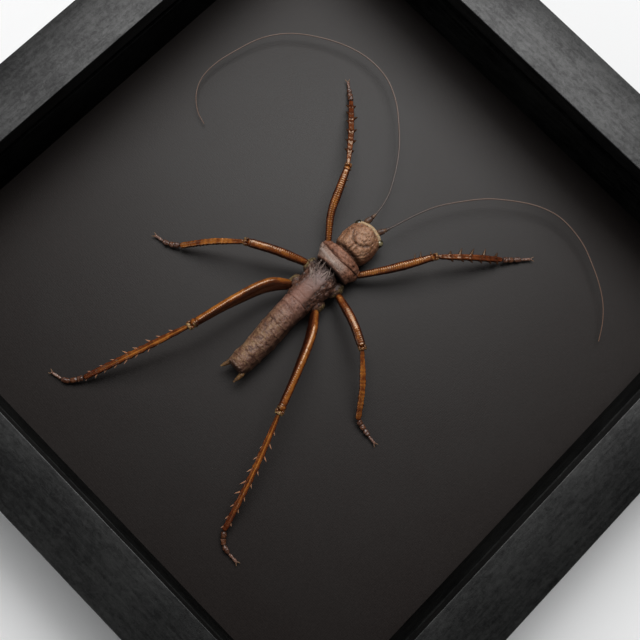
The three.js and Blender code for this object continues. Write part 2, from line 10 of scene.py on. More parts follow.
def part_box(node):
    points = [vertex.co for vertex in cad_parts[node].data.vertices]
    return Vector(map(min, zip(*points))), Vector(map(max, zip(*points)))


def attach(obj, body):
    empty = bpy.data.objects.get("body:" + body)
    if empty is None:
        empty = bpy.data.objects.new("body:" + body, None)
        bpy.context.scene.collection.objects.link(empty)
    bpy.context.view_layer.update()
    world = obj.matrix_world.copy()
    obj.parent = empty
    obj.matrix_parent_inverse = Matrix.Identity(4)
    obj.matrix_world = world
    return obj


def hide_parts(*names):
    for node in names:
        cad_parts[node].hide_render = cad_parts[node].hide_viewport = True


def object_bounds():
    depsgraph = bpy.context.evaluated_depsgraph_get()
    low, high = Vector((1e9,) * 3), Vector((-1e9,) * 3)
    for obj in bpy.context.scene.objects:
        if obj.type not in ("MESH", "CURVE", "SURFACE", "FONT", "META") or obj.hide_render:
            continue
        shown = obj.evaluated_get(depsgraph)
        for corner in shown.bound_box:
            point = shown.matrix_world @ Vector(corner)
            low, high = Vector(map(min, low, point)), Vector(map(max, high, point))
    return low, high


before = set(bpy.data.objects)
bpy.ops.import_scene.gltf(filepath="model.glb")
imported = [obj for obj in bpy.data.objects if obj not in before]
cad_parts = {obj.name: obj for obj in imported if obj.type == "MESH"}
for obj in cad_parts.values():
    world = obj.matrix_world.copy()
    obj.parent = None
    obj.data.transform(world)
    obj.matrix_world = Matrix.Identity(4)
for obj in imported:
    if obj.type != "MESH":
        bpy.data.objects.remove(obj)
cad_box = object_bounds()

# The camera looks almost straight down on the frame as it lies on its back, and the frame is turned
# an eighth of a turn in the picture, with the insect's head to the upper right.
MM = 0.001
CAMERA_PLACE = Vector((31.0, -50.3, 286.3)) * MM
CAMERA_AIM = Vector((7.85, -5.05, 11.2)) * MM
PICTURE_TURN = math.radians(45.09)
LENS = 54.96

heading = (CAMERA_AIM - CAMERA_PLACE).normalized()
right = heading.cross(Vector((-math.sin(PICTURE_TURN), math.cos(PICTURE_TURN), 0))).normalized()
camera = bpy.data.objects.new("camera", bpy.data.cameras.new("camera"))
turned = Matrix((right, right.cross(heading), -heading)).transposed().to_4x4()
camera.matrix_world = Matrix.Translation(CAMERA_PLACE) @ turned
camera.data.sensor_width = 36
camera.data.lens = LENS
camera.data.clip_start = 0.01
bpy.context.scene.collection.objects.link(camera)
bpy.context.scene.camera = camera


# The frame: four mitred rails of open-grained wood, stained black under a thin satin lacquer. Each
# has a lip over the glass and a rabbet behind it. The long edges are just eased with sandpaper.
class Wire:
    """A value on its way through a material, so that sums on it add Math nodes."""

    def __init__(self, finish, socket):
        self.finish = finish
        self.socket = socket

    def sum(self, operation, *values):
        return self.finish.node("ShaderNodeMath", {"operation": operation}, dict(enumerate(values)))

    def __add__(self, other):
        return self.sum("ADD", self, other)

    def __sub__(self, other):
        return self.sum("SUBTRACT", self, other)

    def __rsub__(self, other):
        return self.sum("SUBTRACT", other, self)

    def __mul__(self, other):
        return self.sum("MULTIPLY", self, other)

    def __abs__(self):
        return self.sum("ABSOLUTE", self)

    __radd__ = __add__
    __rmul__ = __mul__


class Finish:
    """A material in the making. Places are millimetres in the row frame."""

    def __init__(self, name):
        self.material = bpy.data.materials.new(name)
        self.material.use_nodes = True
        self.tree = self.material.node_tree
        self.tree.nodes.clear()
        metres = self.node("ShaderNodeTexCoord", out="Object")
        self.place = self.node("ShaderNodeVectorMath", {"operation": "SCALE"}, {0: metres, "Scale": 1 / MM})

    def node(self, kind, settings=None, sockets=None, out=0):
        node = self.tree.nodes.new(kind)
        for key, value in (settings or {}).items():
            if key == "stops":
                self.set_stops(node.color_ramp, value)
            else:
                setattr(node, key, value)
        for key, value in (sockets or {}).items():
            if isinstance(value, Wire):
                self.tree.links.new(value.socket, node.inputs[key])
            else:
                node.inputs[key].default_value = value
        return Wire(self, node.outputs[out]) if node.outputs else None

    def set_stops(self, ramp, stops):
        while len(ramp.elements) < len(stops):
            ramp.elements.new(1.0)
        for element, (at, colour) in zip(ramp.elements, stops):
            element.position = at
            element.color = colour

    def noise(self, scale, detail=3.0, rough=0.5, stretch=(1, 1, 1), shift=(0, 0, 0), warp=0.0):
        """Noise from 0 to 1 with about `scale` lumps in a millimetre, drawn out where stretch is small."""
        sockets = {"Vector": self.place, "Scale": stretch, "Location": shift}
        place = self.node("ShaderNodeMapping", None, sockets)
        sockets = {"Vector": place, "Scale": scale, "Detail": detail, "Roughness": rough, "Distortion": warp}
        return self.node("ShaderNodeTexNoise", None, sockets)

    def ramp(self, value, *stops):
        return self.node("ShaderNodeValToRGB", {"stops": stops}, {"Fac": value})

    def mask(self, value, low, high):
        """0 where the value is under low, 1 over high, and even between."""
        sockets = {"Value": value, "From Min": low, "From Max": high}
        return self.node("ShaderNodeMapRange", {"clamp": True}, sockets)

    def mix(self, share, first, second):
        settings = {"data_type": "RGBA", "clamp_factor": True}
        return self.node("ShaderNodeMix", settings, {0: share, 6: first, 7: second}, 2)

    def coats(self, colour, *layers):
        """Lays (share, colour) layers one over another."""
        for share, layer in layers:
            colour = self.mix(share, colour, layer)
        return colour

    def axis(self, name):
        return self.node("ShaderNodeSeparateXYZ", None, {0: self.place}, name)

    def attribute(self, name):
        return self.node("ShaderNodeAttribute", {"attribute_name": name}, None, "Fac")

    def bump(self, height, depth, strength=1.0):
        """The normal of a relief whose height runs from 0 to 1 over `depth` millimetres."""
        sockets = {"Height": height, "Strength": strength, "Distance": depth * MM}
        return self.node("ShaderNodeBump", None, sockets, "Normal")

    def surface(self, **sockets):
        named = {key.replace("_", " "): value for key, value in sockets.items()}
        shader = self.node("ShaderNodeBsdfPrincipled", None, named)
        self.node("ShaderNodeOutputMaterial", None, {"Surface": shader})
        return self.material


def rgb(*values):
    return (*values, 1.0)


def piece(name, mesh_in_mm, finish, slot, *nodes, sharp=35):
    """Makes a mesh built in millimetres a piece of the part, in place of its CAD nodes."""
    bmesh.ops.scale(mesh_in_mm, vec=(MM, MM, MM), verts=mesh_in_mm.verts)
    mesh = bpy.data.meshes.new(name)
    mesh_in_mm.to_mesh(mesh)
    mesh_in_mm.free()
    mesh.shade_smooth()
    mesh.set_sharp_from_angle(angle=math.radians(sharp))
    mesh.materials.append(finish)
    made = bpy.data.objects.new(name, mesh)
    bpy.context.scene.collection.objects.link(made)
    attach(made, "root")
    if nodes:
        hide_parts(*nodes)
    return made


BEVEL = {"affect": "EDGES", "profile": 0.5, "material": -1, "offset_type": "OFFSET", "clamp_overlap": True}
HALF_SIDE = cad_box[1][0] / MM
DEPTH = cad_box[1][2] / MM
HALF_OPENING = -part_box("frame_rail_left")[1][0] / MM
RAIL_FACE = HALF_SIDE - HALF_OPENING
RAIL_WALL = 9.0
GLASS_PLAY = 0.1
LIP_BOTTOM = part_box("glass_pane")[1][2] / MM + GLASS_PLAY
EASED = 0.3
MITRE = 0.05
TURNS = {"bottom": 0, "right": 1, "top": 2, "left": 3}


def black_wood(name, along_y, shift, gloss=1.0):
    """Black stain over open pores: soft streaks along the rail under a patchy satin lacquer, which
    barely reaches the inner side of the lip."""
    wood = Finish(name)
    streak = (1.0, 0.09, 1.0) if along_y else (0.09, 1.0, 1.0)
    pebbled = (1.0, 0.6, 1.0) if along_y else (0.6, 1.0, 1.0)
    grain = wood.noise(1.0, 6, 0.68, streak, shift, warp=0.3)
    pebble = wood.noise(0.9, 5, 0.72, pebbled, shift, warp=0.6)
    fine = wood.noise(3.6, 4, 0.65, pebbled, shift)
    cloud = wood.noise(0.06, 4, 0.6, (1, 1, 1), shift)
    rubbed = wood.mask(grain * 0.45 + pebble * 0.3 + cloud * 0.25, 0.42, 0.60)
    stain = wood.mix(rubbed, rgb(0.0014, 0.0015, 0.0015), rgb(0.0105, 0.0107, 0.0102))
    pores = wood.mask(fine, 0.56, 0.66)
    from_middle = abs(wood.axis("X" if along_y else "Y"))
    outer = wood.mask(from_middle, HALF_OPENING + 0.02, HALF_OPENING + 0.15)
    sheen = wood.mask(pebble * 0.35 + fine * 0.3 + cloud * 0.2 + grain * 0.15, 0.43, 0.57)
    return wood.surface(
        Base_Color=wood.mix(pores * 0.5, stain, rgb(0.0012, 0.0012, 0.0012)),
        Roughness=0.37 + pebble * 0.1,
        Normal=wood.bump(grain * 0.25 + pebble * 0.7 + fine * 0.7, 0.16, 0.85),
        Specular_IOR_Level=0.08 * gloss,
        Coat_Weight=(0.32 + sheen * 0.48 - pores * 0.3) * (outer * 0.8 + 0.2) * gloss,
        Coat_Roughness=0.37,
    )


def rail_mesh(turn):
    profile = [
        (0, 0), (RAIL_WALL, 0), (RAIL_WALL, LIP_BOTTOM),
        (RAIL_FACE, LIP_BOTTOM), (RAIL_FACE, DEPTH), (0, DEPTH),
    ]
    rail = bmesh.new()
    corners = [rail.verts.new((-HALF_SIDE, inward - HALF_SIDE, up)) for inward, up in profile]
    end = rail.faces.new(corners)
    grown = bmesh.ops.extrude_face_region(rail, geom=[end])["geom"]
    far = [part for part in grown if isinstance(part, bmesh.types.BMVert)]
    bmesh.ops.translate(rail, vec=(2 * HALF_SIDE, 0, 0), verts=far)
    bmesh.ops.recalc_face_normals(rail, faces=rail.faces)
    long_edges = [edge for edge in rail.edges if abs(edge.verts[0].co.x - edge.verts[1].co.x) > HALF_SIDE]
    bmesh.ops.bevel(rail, geom=long_edges, offset=EASED, segments=3, **BEVEL)
    for way in (-1, 1):
        corner = Vector((way * (HALF_SIDE - MITRE), -HALF_SIDE, 0))
        sides = rail.verts[:] + rail.edges[:] + rail.faces[:]
        cut = {"plane_co": corner, "plane_no": Vector((way, 1, 0)), "clear_outer": True}
        bmesh.ops.bisect_plane(rail, geom=sides, **cut)
        rim = [edge for edge in rail.edges if edge.is_boundary]
        bmesh.ops.edgeloop_fill(rail, edges=rim)
    bmesh.ops.recalc_face_normals(rail, faces=rail.faces)
    bmesh.ops.rotate(rail, matrix=Matrix.Rotation(turn * math.pi / 2, 3, "Z"), verts=rail.verts)
    return rail


for side, turn in TURNS.items():
    wood = black_wood(f"black wood {side}", turn % 2 == 1, (17.0 * turn, 31.0 * turn, 5.0 * turn))
    piece(f"{side}_rail", rail_mesh(turn), wood, "black_wood", f"frame_rail_{side}", sharp=50)

# The glass: one clean pane of clear picture glass, with arrised edges, held up against the lip by
# the spacers. It hardly mirrors anything, as low-reflection glass does.
glass = Finish("picture glass")
smear = glass.noise(0.02, 4, 0.6)
glass_finish = glass.surface(
    Base_Color=glass.mix(glass.mask(smear, 0.45, 0.75), rgb(0.99, 0.995, 0.99), rgb(0.975, 0.98, 0.98)),
    Roughness=0.0,
    IOR=1.0002,
    Transmission_Weight=1.0,
)


def slab_in_place_of(node, eased=0.3, segments=2):
    """A board or strip that fills a CAD node's box, with its edges eased."""
    low, high = (Vector(corner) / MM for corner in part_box(node))
    board = bmesh.new()
    place = Matrix.Translation((low + high) / 2) @ Matrix.Diagonal((*(high - low), 1))
    bmesh.ops.create_cube(board, size=1, matrix=place)
    bmesh.ops.bevel(board, geom=board.edges[:], offset=eased, segments=segments, **BEVEL)
    return board


pane = piece("picture_glass", slab_in_place_of("glass_pane", 0.25), glass_finish, "clear_glass", "glass_pane")
pane.visible_shadow = False
pane.visible_diffuse = False
pane.visible_glossy = False

# The spacers: four thin black strips round the recess, flush with the lip, that keep the glass
# clear of the insect. Long ones top and bottom, short ones between them.
for side, turn in TURNS.items():
    wood = black_wood(f"black spacer {side}", turn % 2 == 1, (53.0 * turn, 7.0, 11.0 * turn), 0.12)
    piece(f"{side}_spacer", slab_in_place_of(f"spacer_{side}", 0.2), wood, "black_wood", f"spacer_{side}")

# The backing board: stiff card faced with charcoal paper that has a fine linen tooth. The insect's
# feet are glued to it.
BOARD_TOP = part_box("backing_board")[1][2] / MM
LINEN_PITCH = 0.55

paper = Finish("charcoal paper")
slope = paper.node("ShaderNodeMapping", None, {"Vector": paper.place, "Rotation": (0, 0, 0.03)})
bands = {"wave_type": "BANDS", "bands_direction": "X"}
crossing = {"wave_type": "BANDS", "bands_direction": "Y"}
threads = {
    "Vector": slope, "Scale": 0.314 / LINEN_PITCH, "Distortion": 6.0, "Detail": 3.0, "Detail Scale": 1.1,
}
warp_threads = paper.node("ShaderNodeTexWave", bands, threads)
weft_threads = paper.node("ShaderNodeTexWave", crossing, threads)
fibre = paper.noise(2.0, 4, 0.7)
blotch = paper.noise(0.05, 4, 0.6)
linen = warp_threads * 0.09 + weft_threads * 0.09 + fibre * 0.82
tooth = paper.mask(linen, 0.3, 0.7)
paper_colour = paper.coats(
    rgb(0.0098, 0.0070, 0.0062), (tooth, rgb(0.0172, 0.0127, 0.0113)),
    (paper.mask(blotch, 0.4, 0.7) * 0.3, rgb(0.018, 0.0155, 0.0145)),
)
paper_finish = paper.surface(
    Base_Color=paper_colour,
    Roughness=0.48 + fibre * 0.10,
    Normal=paper.bump(linen, 0.08, 0.5),
    Specular_IOR_Level=0.33,
)
piece("backing_card", slab_in_place_of("backing_board", 0.3), paper_finish, "charcoal_paper", "backing_board")

# The back: a hardboard panel let into the rabbet, smooth side in and screen side out, held by eight
# flat spring points pushed into slots in the rails, with a riveted saw-tooth hanger.
screen = Finish("hardboard")
mesh_marks = {"Vector": screen.place, "Scale": 0.42, "Distortion": 0.4, "Detail": 1.0}
screen_x = screen.node("ShaderNodeTexWave", bands, mesh_marks)
screen_y = screen.node("ShaderNodeTexWave", crossing, mesh_marks)
chips = screen.noise(1.3, 5, 0.7, warp=0.5)
stains = screen.noise(0.03, 3, 0.6)
screen_finish = screen.surface(
    Base_Color=screen.coats(
        rgb(0.10, 0.052, 0.025), (screen.mask(chips, 0.35, 0.7), rgb(0.24, 0.145, 0.075)),
        (stains * 0.35, rgb(0.12, 0.07, 0.035)),
    ),
    Roughness=0.78 + chips * 0.15,
    Normal=screen.bump(screen_x * 0.3 + screen_y * 0.3 + chips * 0.5, 0.18, 0.8),
)
piece("hardboard_panel", slab_in_place_of("back_panel", 0.25), screen_finish, "hardboard", "back_panel")

steel = Finish("zinc-plated steel")
spangle = steel.noise(0.9, 3, 0.6, warp=1.2)
drawn = steel.noise(3.0, 3, 0.6, (0.08, 1, 1))
steel_finish = steel.surface(
    Base_Color=steel.mix(spangle, rgb(0.36, 0.36, 0.37), rgb(0.56, 0.57, 0.58)),
    Metallic=1.0,
    Roughness=0.28 + drawn * 0.25,
    Normal=steel.bump(drawn, 0.02, 0.4),
)
for side in TURNS:
    for number in (1, 2):
        node = f"spring_point_{side}_{number}"
        piece(f"{side}_tab_{number}", slab_in_place_of(node, 0.12, 1), steel_finish, "spring_steel", node)
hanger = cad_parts["sawtooth_hanger"]
hanger.data.materials.clear()
hanger.data.materials.append(steel_finish)


# The insect's shell, from here on. Nearly all of it is drawn out round a smooth line: rings are
# laid along the line, each wide and high as the part is there.
class Line:
    """A smooth curve through points of any number of values, read by its share of the length."""

    def __init__(self, points, fineness=24):
        knots = [np.array(point, float) for point in points]
        knots = [2 * knots[0] - knots[1], *knots, 2 * knots[-1] - knots[-2]]
        fine = []
        for a, b, c, d in zip(knots, knots[1:], knots[2:], knots[3:]):
            before, here, after = (math.sqrt(np.linalg.norm(q - p)) for p, q in ((a, b), (b, c), (c, d)))
            start = ((b - a) / before - (c - a) / (before + here) + (c - b) / here) * here
            end = ((c - b) / here - (d - b) / (here + after) + (d - c) / after) * here
            for step in range(fineness):
                t = step / fineness
                square = 3 * (c - b) - 2 * start - end
                cube = 2 * (b - c) + start + end
                fine.append(b + start * t + square * t ** 2 + cube * t ** 3)
        fine.append(knots[-2])
        self.fine = np.array(fine)
        gaps = np.linalg.norm(np.diff(self.fine, axis=0), axis=1)
        self.reached = np.concatenate([[0], np.cumsum(gaps)])
        self.length = float(self.reached[-1])

    def at(self, share):
        want = share * self.length
        return [float(np.interp(want, self.reached, column)) for column in self.fine.T]

    def ring(self, share, lean=0.0):
        """Place, right-hand side, upward side and heading at a share of the line. A lean turns the
        upper side towards the right-hand one."""
        step = 0.004
        here = Vector(self.at(share))
        ahead = Vector(self.at(min(share + step, 1))) - Vector(self.at(max(share - step, 0)))
        ahead.normalize()
        across = ahead.cross(Vector((0, 0, 1))).normalized()
        across.rotate(Matrix.Rotation(lean, 3, ahead))
        return here, across, across.cross(ahead), ahead


# What is painted on each point: along, its share of the line; upper, how much painted light a leg shell gets,
# a painted highlight on top and painted shade down the sides; mark, painted shade in grooves and creases, and
# some dark marks; pale, pale marks, and painted highlights on raised parts; thorn, from a thorn's root to its
# tip.
PAINTS = ("along", "upper", "mark", "pale", "thorn")


def rolled(mesh, shares, sides, place, paint=None):
    """Rolls a flat grid up round a line. place(share, angle) gives each point, where angle 0 is the
    right-hand side and a quarter turn the top, and paint(share, angle) what is painted on it."""
    for name in PAINTS:
        if name not in mesh.verts.layers.float:
            mesh.verts.layers.float.new(name)
    layers = {name: mesh.verts.layers.float[name] for name in PAINTS}
    made = bmesh.ops.create_grid(mesh, x_segments=sides, y_segments=len(shares) - 1, size=1)["verts"]
    for vert in made:
        share = shares[round((vert.co.y + 1) / 2 * (len(shares) - 1))]
        angle = math.pi * (1 + vert.co.x)
        values = {"along": share, "upper": math.sin(angle), **(paint(share, angle) if paint else {})}
        for name, value in values.items():
            vert[layers[name]] = value
        vert.co = place(share, angle)
    bmesh.ops.remove_doubles(mesh, verts=made, dist=1e-4)
    faces = {face for vert in made if vert.is_valid for face in vert.link_faces}
    bmesh.ops.recalc_face_normals(mesh, faces=list(faces))


def read_rows(rows, share):
    """Reads rows of [share, value, ...] at a share, straight between neighbours."""
    table = np.array(rows, float).T
    return [float(np.interp(share, table[0], column)) for column in table[1:]]


def limb(mesh, line, rows, sides, steps, relief, paint=None, lean=0.0):
    """A round-ended limb along a line. Rows are [share, width, height]; relief is millimetres."""
    dome = [0, 0.04, 0.12, 0.25, 0.45, 0.7]
    first, last = (max(read_rows(rows, end)) / 2 / line.length for end in (0, 1))
    middle = [first + (1 - first - last) * step / steps for step in range(steps + 1)]
    shares = [first * part for part in dome] + middle + [1 - last * part for part in reversed(dome)]
    rings = {share: (line.ring(share, lean), read_rows(rows, share)) for share in shares}

    def place(share, angle):
        (here, across, up, _), (width, height) = rings[share]
        inset = max(0.0, 1 - share / first, 1 - (1 - share) / last)
        round_end = math.sqrt(max(0.0, 1 - inset ** 2))
        out = across * math.cos(angle) * width / 2 + up * math.sin(angle) * height / 2
        spot = here + out * round_end
        return spot + out.normalized() * relief(share, angle, spot) * round_end

    rolled(mesh, shares, sides, place, paint)


def thorn(mesh, root, heading, length, width, bend=Vector((0, 0, 0)), sides=7, at=0.5):
    """A curved thorn that tapers to its bent tip."""
    tip = root + heading * length + bend
    line = Line([root, root + heading * length * 0.55 + bend * 0.2, tip], 8)
    taper = {0: 1.0, 0.2: 0.8, 0.45: 0.55, 0.7: 0.36, 0.9: 0.16, 1: 0.0}
    rings = {share: line.ring(share) for share in taper}

    def place(share, angle):
        here, across, up, _ = rings[share]
        return here + (across * math.cos(angle) + up * math.sin(angle)) * taper[share] * width / 2

    def paint(share, angle):
        return {"along": at, "upper": 0.8, "thorn": 0.3 + 0.7 * share}

    rolled(mesh, list(taper), sides, place, paint)


def wrinkle(spot, size, shift=0.0):
    """Smooth noise from about -1 to 1 with lumps of the given size in millimetres."""
    return noise.noise(Vector(spot) / size + Vector((shift, shift * 0.7, -shift)))


def near(value, centre, spread):
    """1 at the centre, falling to nothing over about twice the spread."""
    return math.exp(-((value - centre) / spread) ** 2)


def clamped(value):
    return max(0.0, min(1.0, value))


# The whole insect stands on the board: its points are millimetres from the middle of the board's
# face, and this lifts them into the frame.
def standing(mesh):
    bmesh.ops.translate(mesh, vec=(0, 0, BOARD_TOP), verts=mesh.verts)
    return mesh


# The head: a dried skull with a round bulge behind the brow, two soft lobes behind that, parted by
# furrows, a pale band across the brow and a small glossy eye on each cheek.
HEAD = [
    [23.85, 0.3, 4.5, 0.4, 0.6], [23.8, 0.3, 4.5, 1.7, 2.0], [23.4, 0.3, 4.6, 3.0, 3.0],
    [22.5, 0.3, 4.9, 4.2, 4.0], [21.2, 0.3, 5.0, 4.9, 4.6], [19.4, 0.3, 5.1, 5.3, 4.9],
    [17.2, 0.4, 5.2, 5.6, 5.0], [15.0, 0.4, 5.3, 5.4, 4.9], [13.6, 0.3, 5.4, 5.0, 4.6],
    [12.7, 0.3, 5.4, 4.3, 4.0], [12.4, 0.3, 5.4, 2.0, 2.0], [12.35, 0.3, 5.4, 0.2, 0.2],
]
BULGE = (0.3, 19.3)
BULGE_RADIUS = 3.3


def body_part(mesh, rows, sides, steps, relief):
    """A part of the body along the row frame's Y: rows are [y, x, z, half width, half height], and
    relief(spot, top) lifts the skin by millimetres, where top is 1 along the back and -1 below."""
    line = Line(rows)
    shares = [step / steps for step in range(steps + 1)]
    read = {share: line.at(share) for share in shares}

    def place(share, angle):
        y, x, z, half_width, half_height = read[share]
        if share in (0, 1):
            return Vector((x, y, z))
        out = Vector((math.cos(angle) * half_width, 0, math.sin(angle) * half_height))
        spot = Vector((x, y, z)) + out
        return spot + out.normalized() * relief(spot, math.sin(angle))

    rolled(mesh, shares, sides, place)


def mark(mesh, rule, name="mark"):
    """Paints how dark each point is, as painted shade in what is sunken, or how pale, as a painted highlight
    on what is raised, by a rule on its place.
    """
    layer = mesh.verts.layers.float[name]
    for vert in mesh.verts:
        vert[layer] = clamped(rule(vert.co))


def off(spot, x, y):
    """How far a place is from an upright through x, y."""
    return math.hypot(spot[0] - x, spot[1] - y)


def head_furrows(spot):
    x, y, z = spot
    wander = 0.35 * wrinkle(spot, 1.6, 11)
    fading = 0.25 + 0.75 * max(0.0, 1 - max(0.0, y - 17.6) / 1.8)
    ring = near(off(spot, *BULGE), BULGE_RADIUS + wander, 0.34) * fading
    outer = near(off(spot, 0.3, 17.0), 4.3 + wander, 0.22) * (1 if y < 19 else 0) * 0.5
    middle = (near(x, 0.15 + wander, 0.2) + near(x, 1.2 + wander, 0.2)) * clamped((16.3 - y) / 1.2)
    brow = near(y + 0.055 * (x - 0.3) ** 2, 22.45, 0.22)
    nape = near(y, 13.0 + 0.4 * wander, 0.5)
    fine = max(0.0, wrinkle((x * 2.2, y, z), 0.8, 19) - 0.12) * 1.3
    return (ring + outer + 0.6 * middle + 0.6 * brow + nape + fine) * (1 if z > 4 else 0)


# How raised the bulge, lobes and ridge are, for the painted highlight on them.
def head_swell_highlight(spot):
    lobes = near(off(spot, -2.2, 15.0), 0, 1.6) + near(off(spot, 3.2, 15.2), 0, 1.6)
    ridge = near(spot.x, 0.7, 0.3) * near(spot.y, 15.0, 1.6)
    return 0.8 * near(off(spot, *BULGE), 0, 2.5) + 0.6 * lobes + 0.7 * ridge + 0.3 * wrinkle(spot, 0.9, 29)


def head_relief(spot, top):
    away = off(spot, *BULGE)
    bulge = 0.34 * near(away, 0, 2.6) - 0.1 * near(away, 0.5, 0.8)
    lobes = 0.4 * (near(off(spot, -2.3, 14.9), 0, 1.7) + near(off(spot, 3.4, 14.9), 0, 1.8))
    cheeks = 0.25 * near(off(spot, -3.6, 18.6), 0, 1.4) + 0.2 * near(off(spot, 4.4, 18.4), 0, 1.3)
    lumps = 0.13 * wrinkle(spot, 1.3) + 0.09 * wrinkle(spot, 0.6, 3) + 0.04 * wrinkle(spot, 0.28, 7)
    return max(0.0, top) * (bulge + lobes + cheeks - 0.5 * head_furrows(spot)) + lumps


def cuticle(name, dark, middle, light, fleck_and_shade, fleck_amount=0.5, lumps=0.45):
    """Dried insect skin: three tones in soft patches, small dark flecks, and painted shade along its sunken
    lines.
    """
    skin = Finish(name)
    patch = skin.noise(lumps, 5, 0.6, warp=0.6)
    small = skin.noise(lumps * 4.5, 4, 0.65)
    dots = skin.noise(1.7, 2, 0.5, (1, 1, 1), (9, 4, 2))
    tone = skin.ramp(patch * 0.65 + small * 0.35, (0.36, dark), (0.5, middle), (0.64, light))
    flecks = skin.mask(dots, 0.60, 0.68) * fleck_amount
    tone = skin.mix(flecks, tone, fleck_and_shade)
    moved = skin.node("ShaderNodeMapping", None, {"Vector": skin.place, "Location": (3, 1, 5)})
    cells = {"Vector": moved, "Scale": 0.9}
    veins = skin.node("ShaderNodeTexVoronoi", {"feature": "DISTANCE_TO_EDGE"}, cells)
    tone = skin.mix((1 - skin.mask(veins + small * 0.25, 0.12, 0.26)) * fleck_amount, tone, dark)
    # The mark darkens the furrows and creases as painted shade, in the flecks' colour.
    return skin, skin.mix(skin.attribute("mark") * 0.85, tone, fleck_and_shade), patch, small, skin.noise(5.0, 3, 0.6)


head = bmesh.new()
body_part(head, HEAD, 144, 120, head_relief)
# The head's furrows are painted dark as shade, and its bulge, lobes and ridge pale as a painted highlight.
mark(head, head_furrows)
mark(head, head_swell_highlight, "pale")
skin, tone, patch, small, pebble = cuticle(
    "head skin", rgb(0.125, 0.050, 0.026), rgb(0.28, 0.13, 0.068), rgb(0.42, 0.235, 0.135),
    rgb(0.035, 0.014, 0.008), 0.45, 0.8,
)
apart = skin.axis("X") - 0.3
forward = skin.axis("Y")
brow_line = forward + apart * apart * 0.055 + small * 1.2
# Painted highlight on the raised bulge, lobes and ridge.
swell_highlight = skin.mask(skin.attribute("pale") + small * 0.6, 0.4, 1.2)
band = skin.mask(brow_line, 22.75, 23.25)
# Painted shade on the head's right flank behind the eye, the side away from the lamps.
cheek = skin.mask(apart * (1 - skin.mask(forward, 19.5, 21.0)) + small * 0.8, 4.6, 5.6)
head_skin = skin.surface(
    Base_Color=skin.coats(
        tone, (swell_highlight * 0.55, rgb(0.42, 0.25, 0.155)), (band * 0.8, rgb(0.54, 0.39, 0.23)),
        (cheek * 0.7, rgb(0.12, 0.038, 0.02)),
    ),
    Roughness=0.36 + small * 0.2,
    Specular_IOR_Level=0.35,
    Normal=skin.bump(small * 0.5 + pebble * 0.5, 0.16, 0.8),
    Subsurface_Weight=0.12,
    Subsurface_Radius=(0.8, 0.35, 0.2),
    Subsurface_Scale=0.6 * MM,
)
piece("skull", standing(head), head_skin, "pale_cuticle", "head")

eye = Finish("eye")
facets = eye.node("ShaderNodeTexVoronoi", None, {"Vector": eye.place, "Scale": 7.0}, "Distance")
streaks = eye.noise(0.9, 2, 0.5, warp=1.0)
eye_tone = eye.ramp(
    streaks, (0.42, rgb(0.012, 0.009, 0.005)), (0.52, rgb(0.08, 0.065, 0.025)), (0.62, rgb(0.30, 0.25, 0.13)),
)
eye_finish = eye.surface(
    Base_Color=eye.mix(facets * 0.6, eye_tone, rgb(0.01, 0.008, 0.005)),
    Roughness=0.18,
    Coat_Weight=0.6,
    Normal=eye.bump(1 - facets, 0.02, 0.6),
)
EYES_ACROSS = (-3.7, 4.5)
EYE_HALF_SIZES = (1.15, 1.4, 1.6)
eyes = bmesh.new()
for x in EYES_ACROSS:
    socket = Matrix.Translation((x, 21.6, 5.5)) @ Matrix.Diagonal((*EYE_HALF_SIZES, 1))
    bmesh.ops.create_uvsphere(eyes, u_segments=36, v_segments=24, radius=1, matrix=socket)
piece("eyes", standing(eyes), eye_finish, "pale_cuticle")

# The collar behind the head: a saddle in two bands, the front one pinkish, the rear one a thick
# pale rolled edge, with the bulging sockets of the front legs under it.
PRONOTUM = [
    [12.55, 0.3, 5.4, 3.8, 3.6], [12.4, 0.3, 5.4, 5.0, 4.7], [11.7, 0.2, 5.5, 6.0, 5.2],
    [10.4, 0.1, 5.5, 6.3, 5.4], [9.2, 0.2, 5.5, 6.1, 5.3], [8.8, 0.2, 5.5, 6.2, 5.4],
    [7.0, 0.4, 5.5, 5.9, 5.2], [6.3, 0.5, 5.5, 5.5, 4.9], [6.0, 0.5, 5.5, 4.8, 4.3],
    [5.9, 0.5, 5.5, 3.2, 3.0],
]
FRONT_SOCKETS = [[-5.0, 10.6, 4.0, 2.3, 2.3, 2.3], [5.2, 10.2, 4.0, 2.0, 2.3, 2.3]]


def collar_furrows(spot):
    x, y, z = spot
    wander = 0.3 * wrinkle(spot, 2.2, 6) + 0.03 * (x - 0.3) ** 2
    groove = near(y, 9.1 + wander, 0.2)
    short = near(y + 0.5 * wrinkle(spot, 1.0, 12), 10.9, 0.12) * (0.5 + 0.5 * wrinkle(spot, 1.8, 3))
    creases = max(0.0, wrinkle((x * 0.7, y * 1.6, z), 0.8, 23) - 0.15)
    return 0.9 * groove + 0.5 * short + 0.9 * near(y, 12.4, 0.4) + creases


def collar_relief(spot, top):
    rolled_edge = 0.3 * near(spot.y, 7.7 + 0.025 * spot.x * spot.x, 0.8)
    lumps = 0.15 * wrinkle(spot, 1.2, 5) + 0.10 * wrinkle(spot, 0.55, 8) + 0.04 * wrinkle(spot, 0.28, 2)
    return rolled_edge - 0.34 * collar_furrows(spot) + lumps


collar = bmesh.new()
body_part(collar, PRONOTUM, 144, 84, collar_relief)


def socket_lump(mesh, x, y, z, half_width, half_length, half_height, seed):
    """A knobbly ball in which a leg sits."""
    place = Matrix.Translation((x, y, z)) @ Matrix.Diagonal((half_width, half_length, half_height, 1))
    made = bmesh.ops.create_icosphere(mesh, subdivisions=5, radius=1, matrix=place)["verts"]
    for vert in made:
        out = (vert.co - Vector((x, y, z))).normalized()
        lump = 0.25 * wrinkle(vert.co, 1.6, seed) + 0.14 * wrinkle(vert.co, 0.5, seed)
        vert.co += out * (lump + 0.06 * wrinkle(vert.co, 0.25, seed))


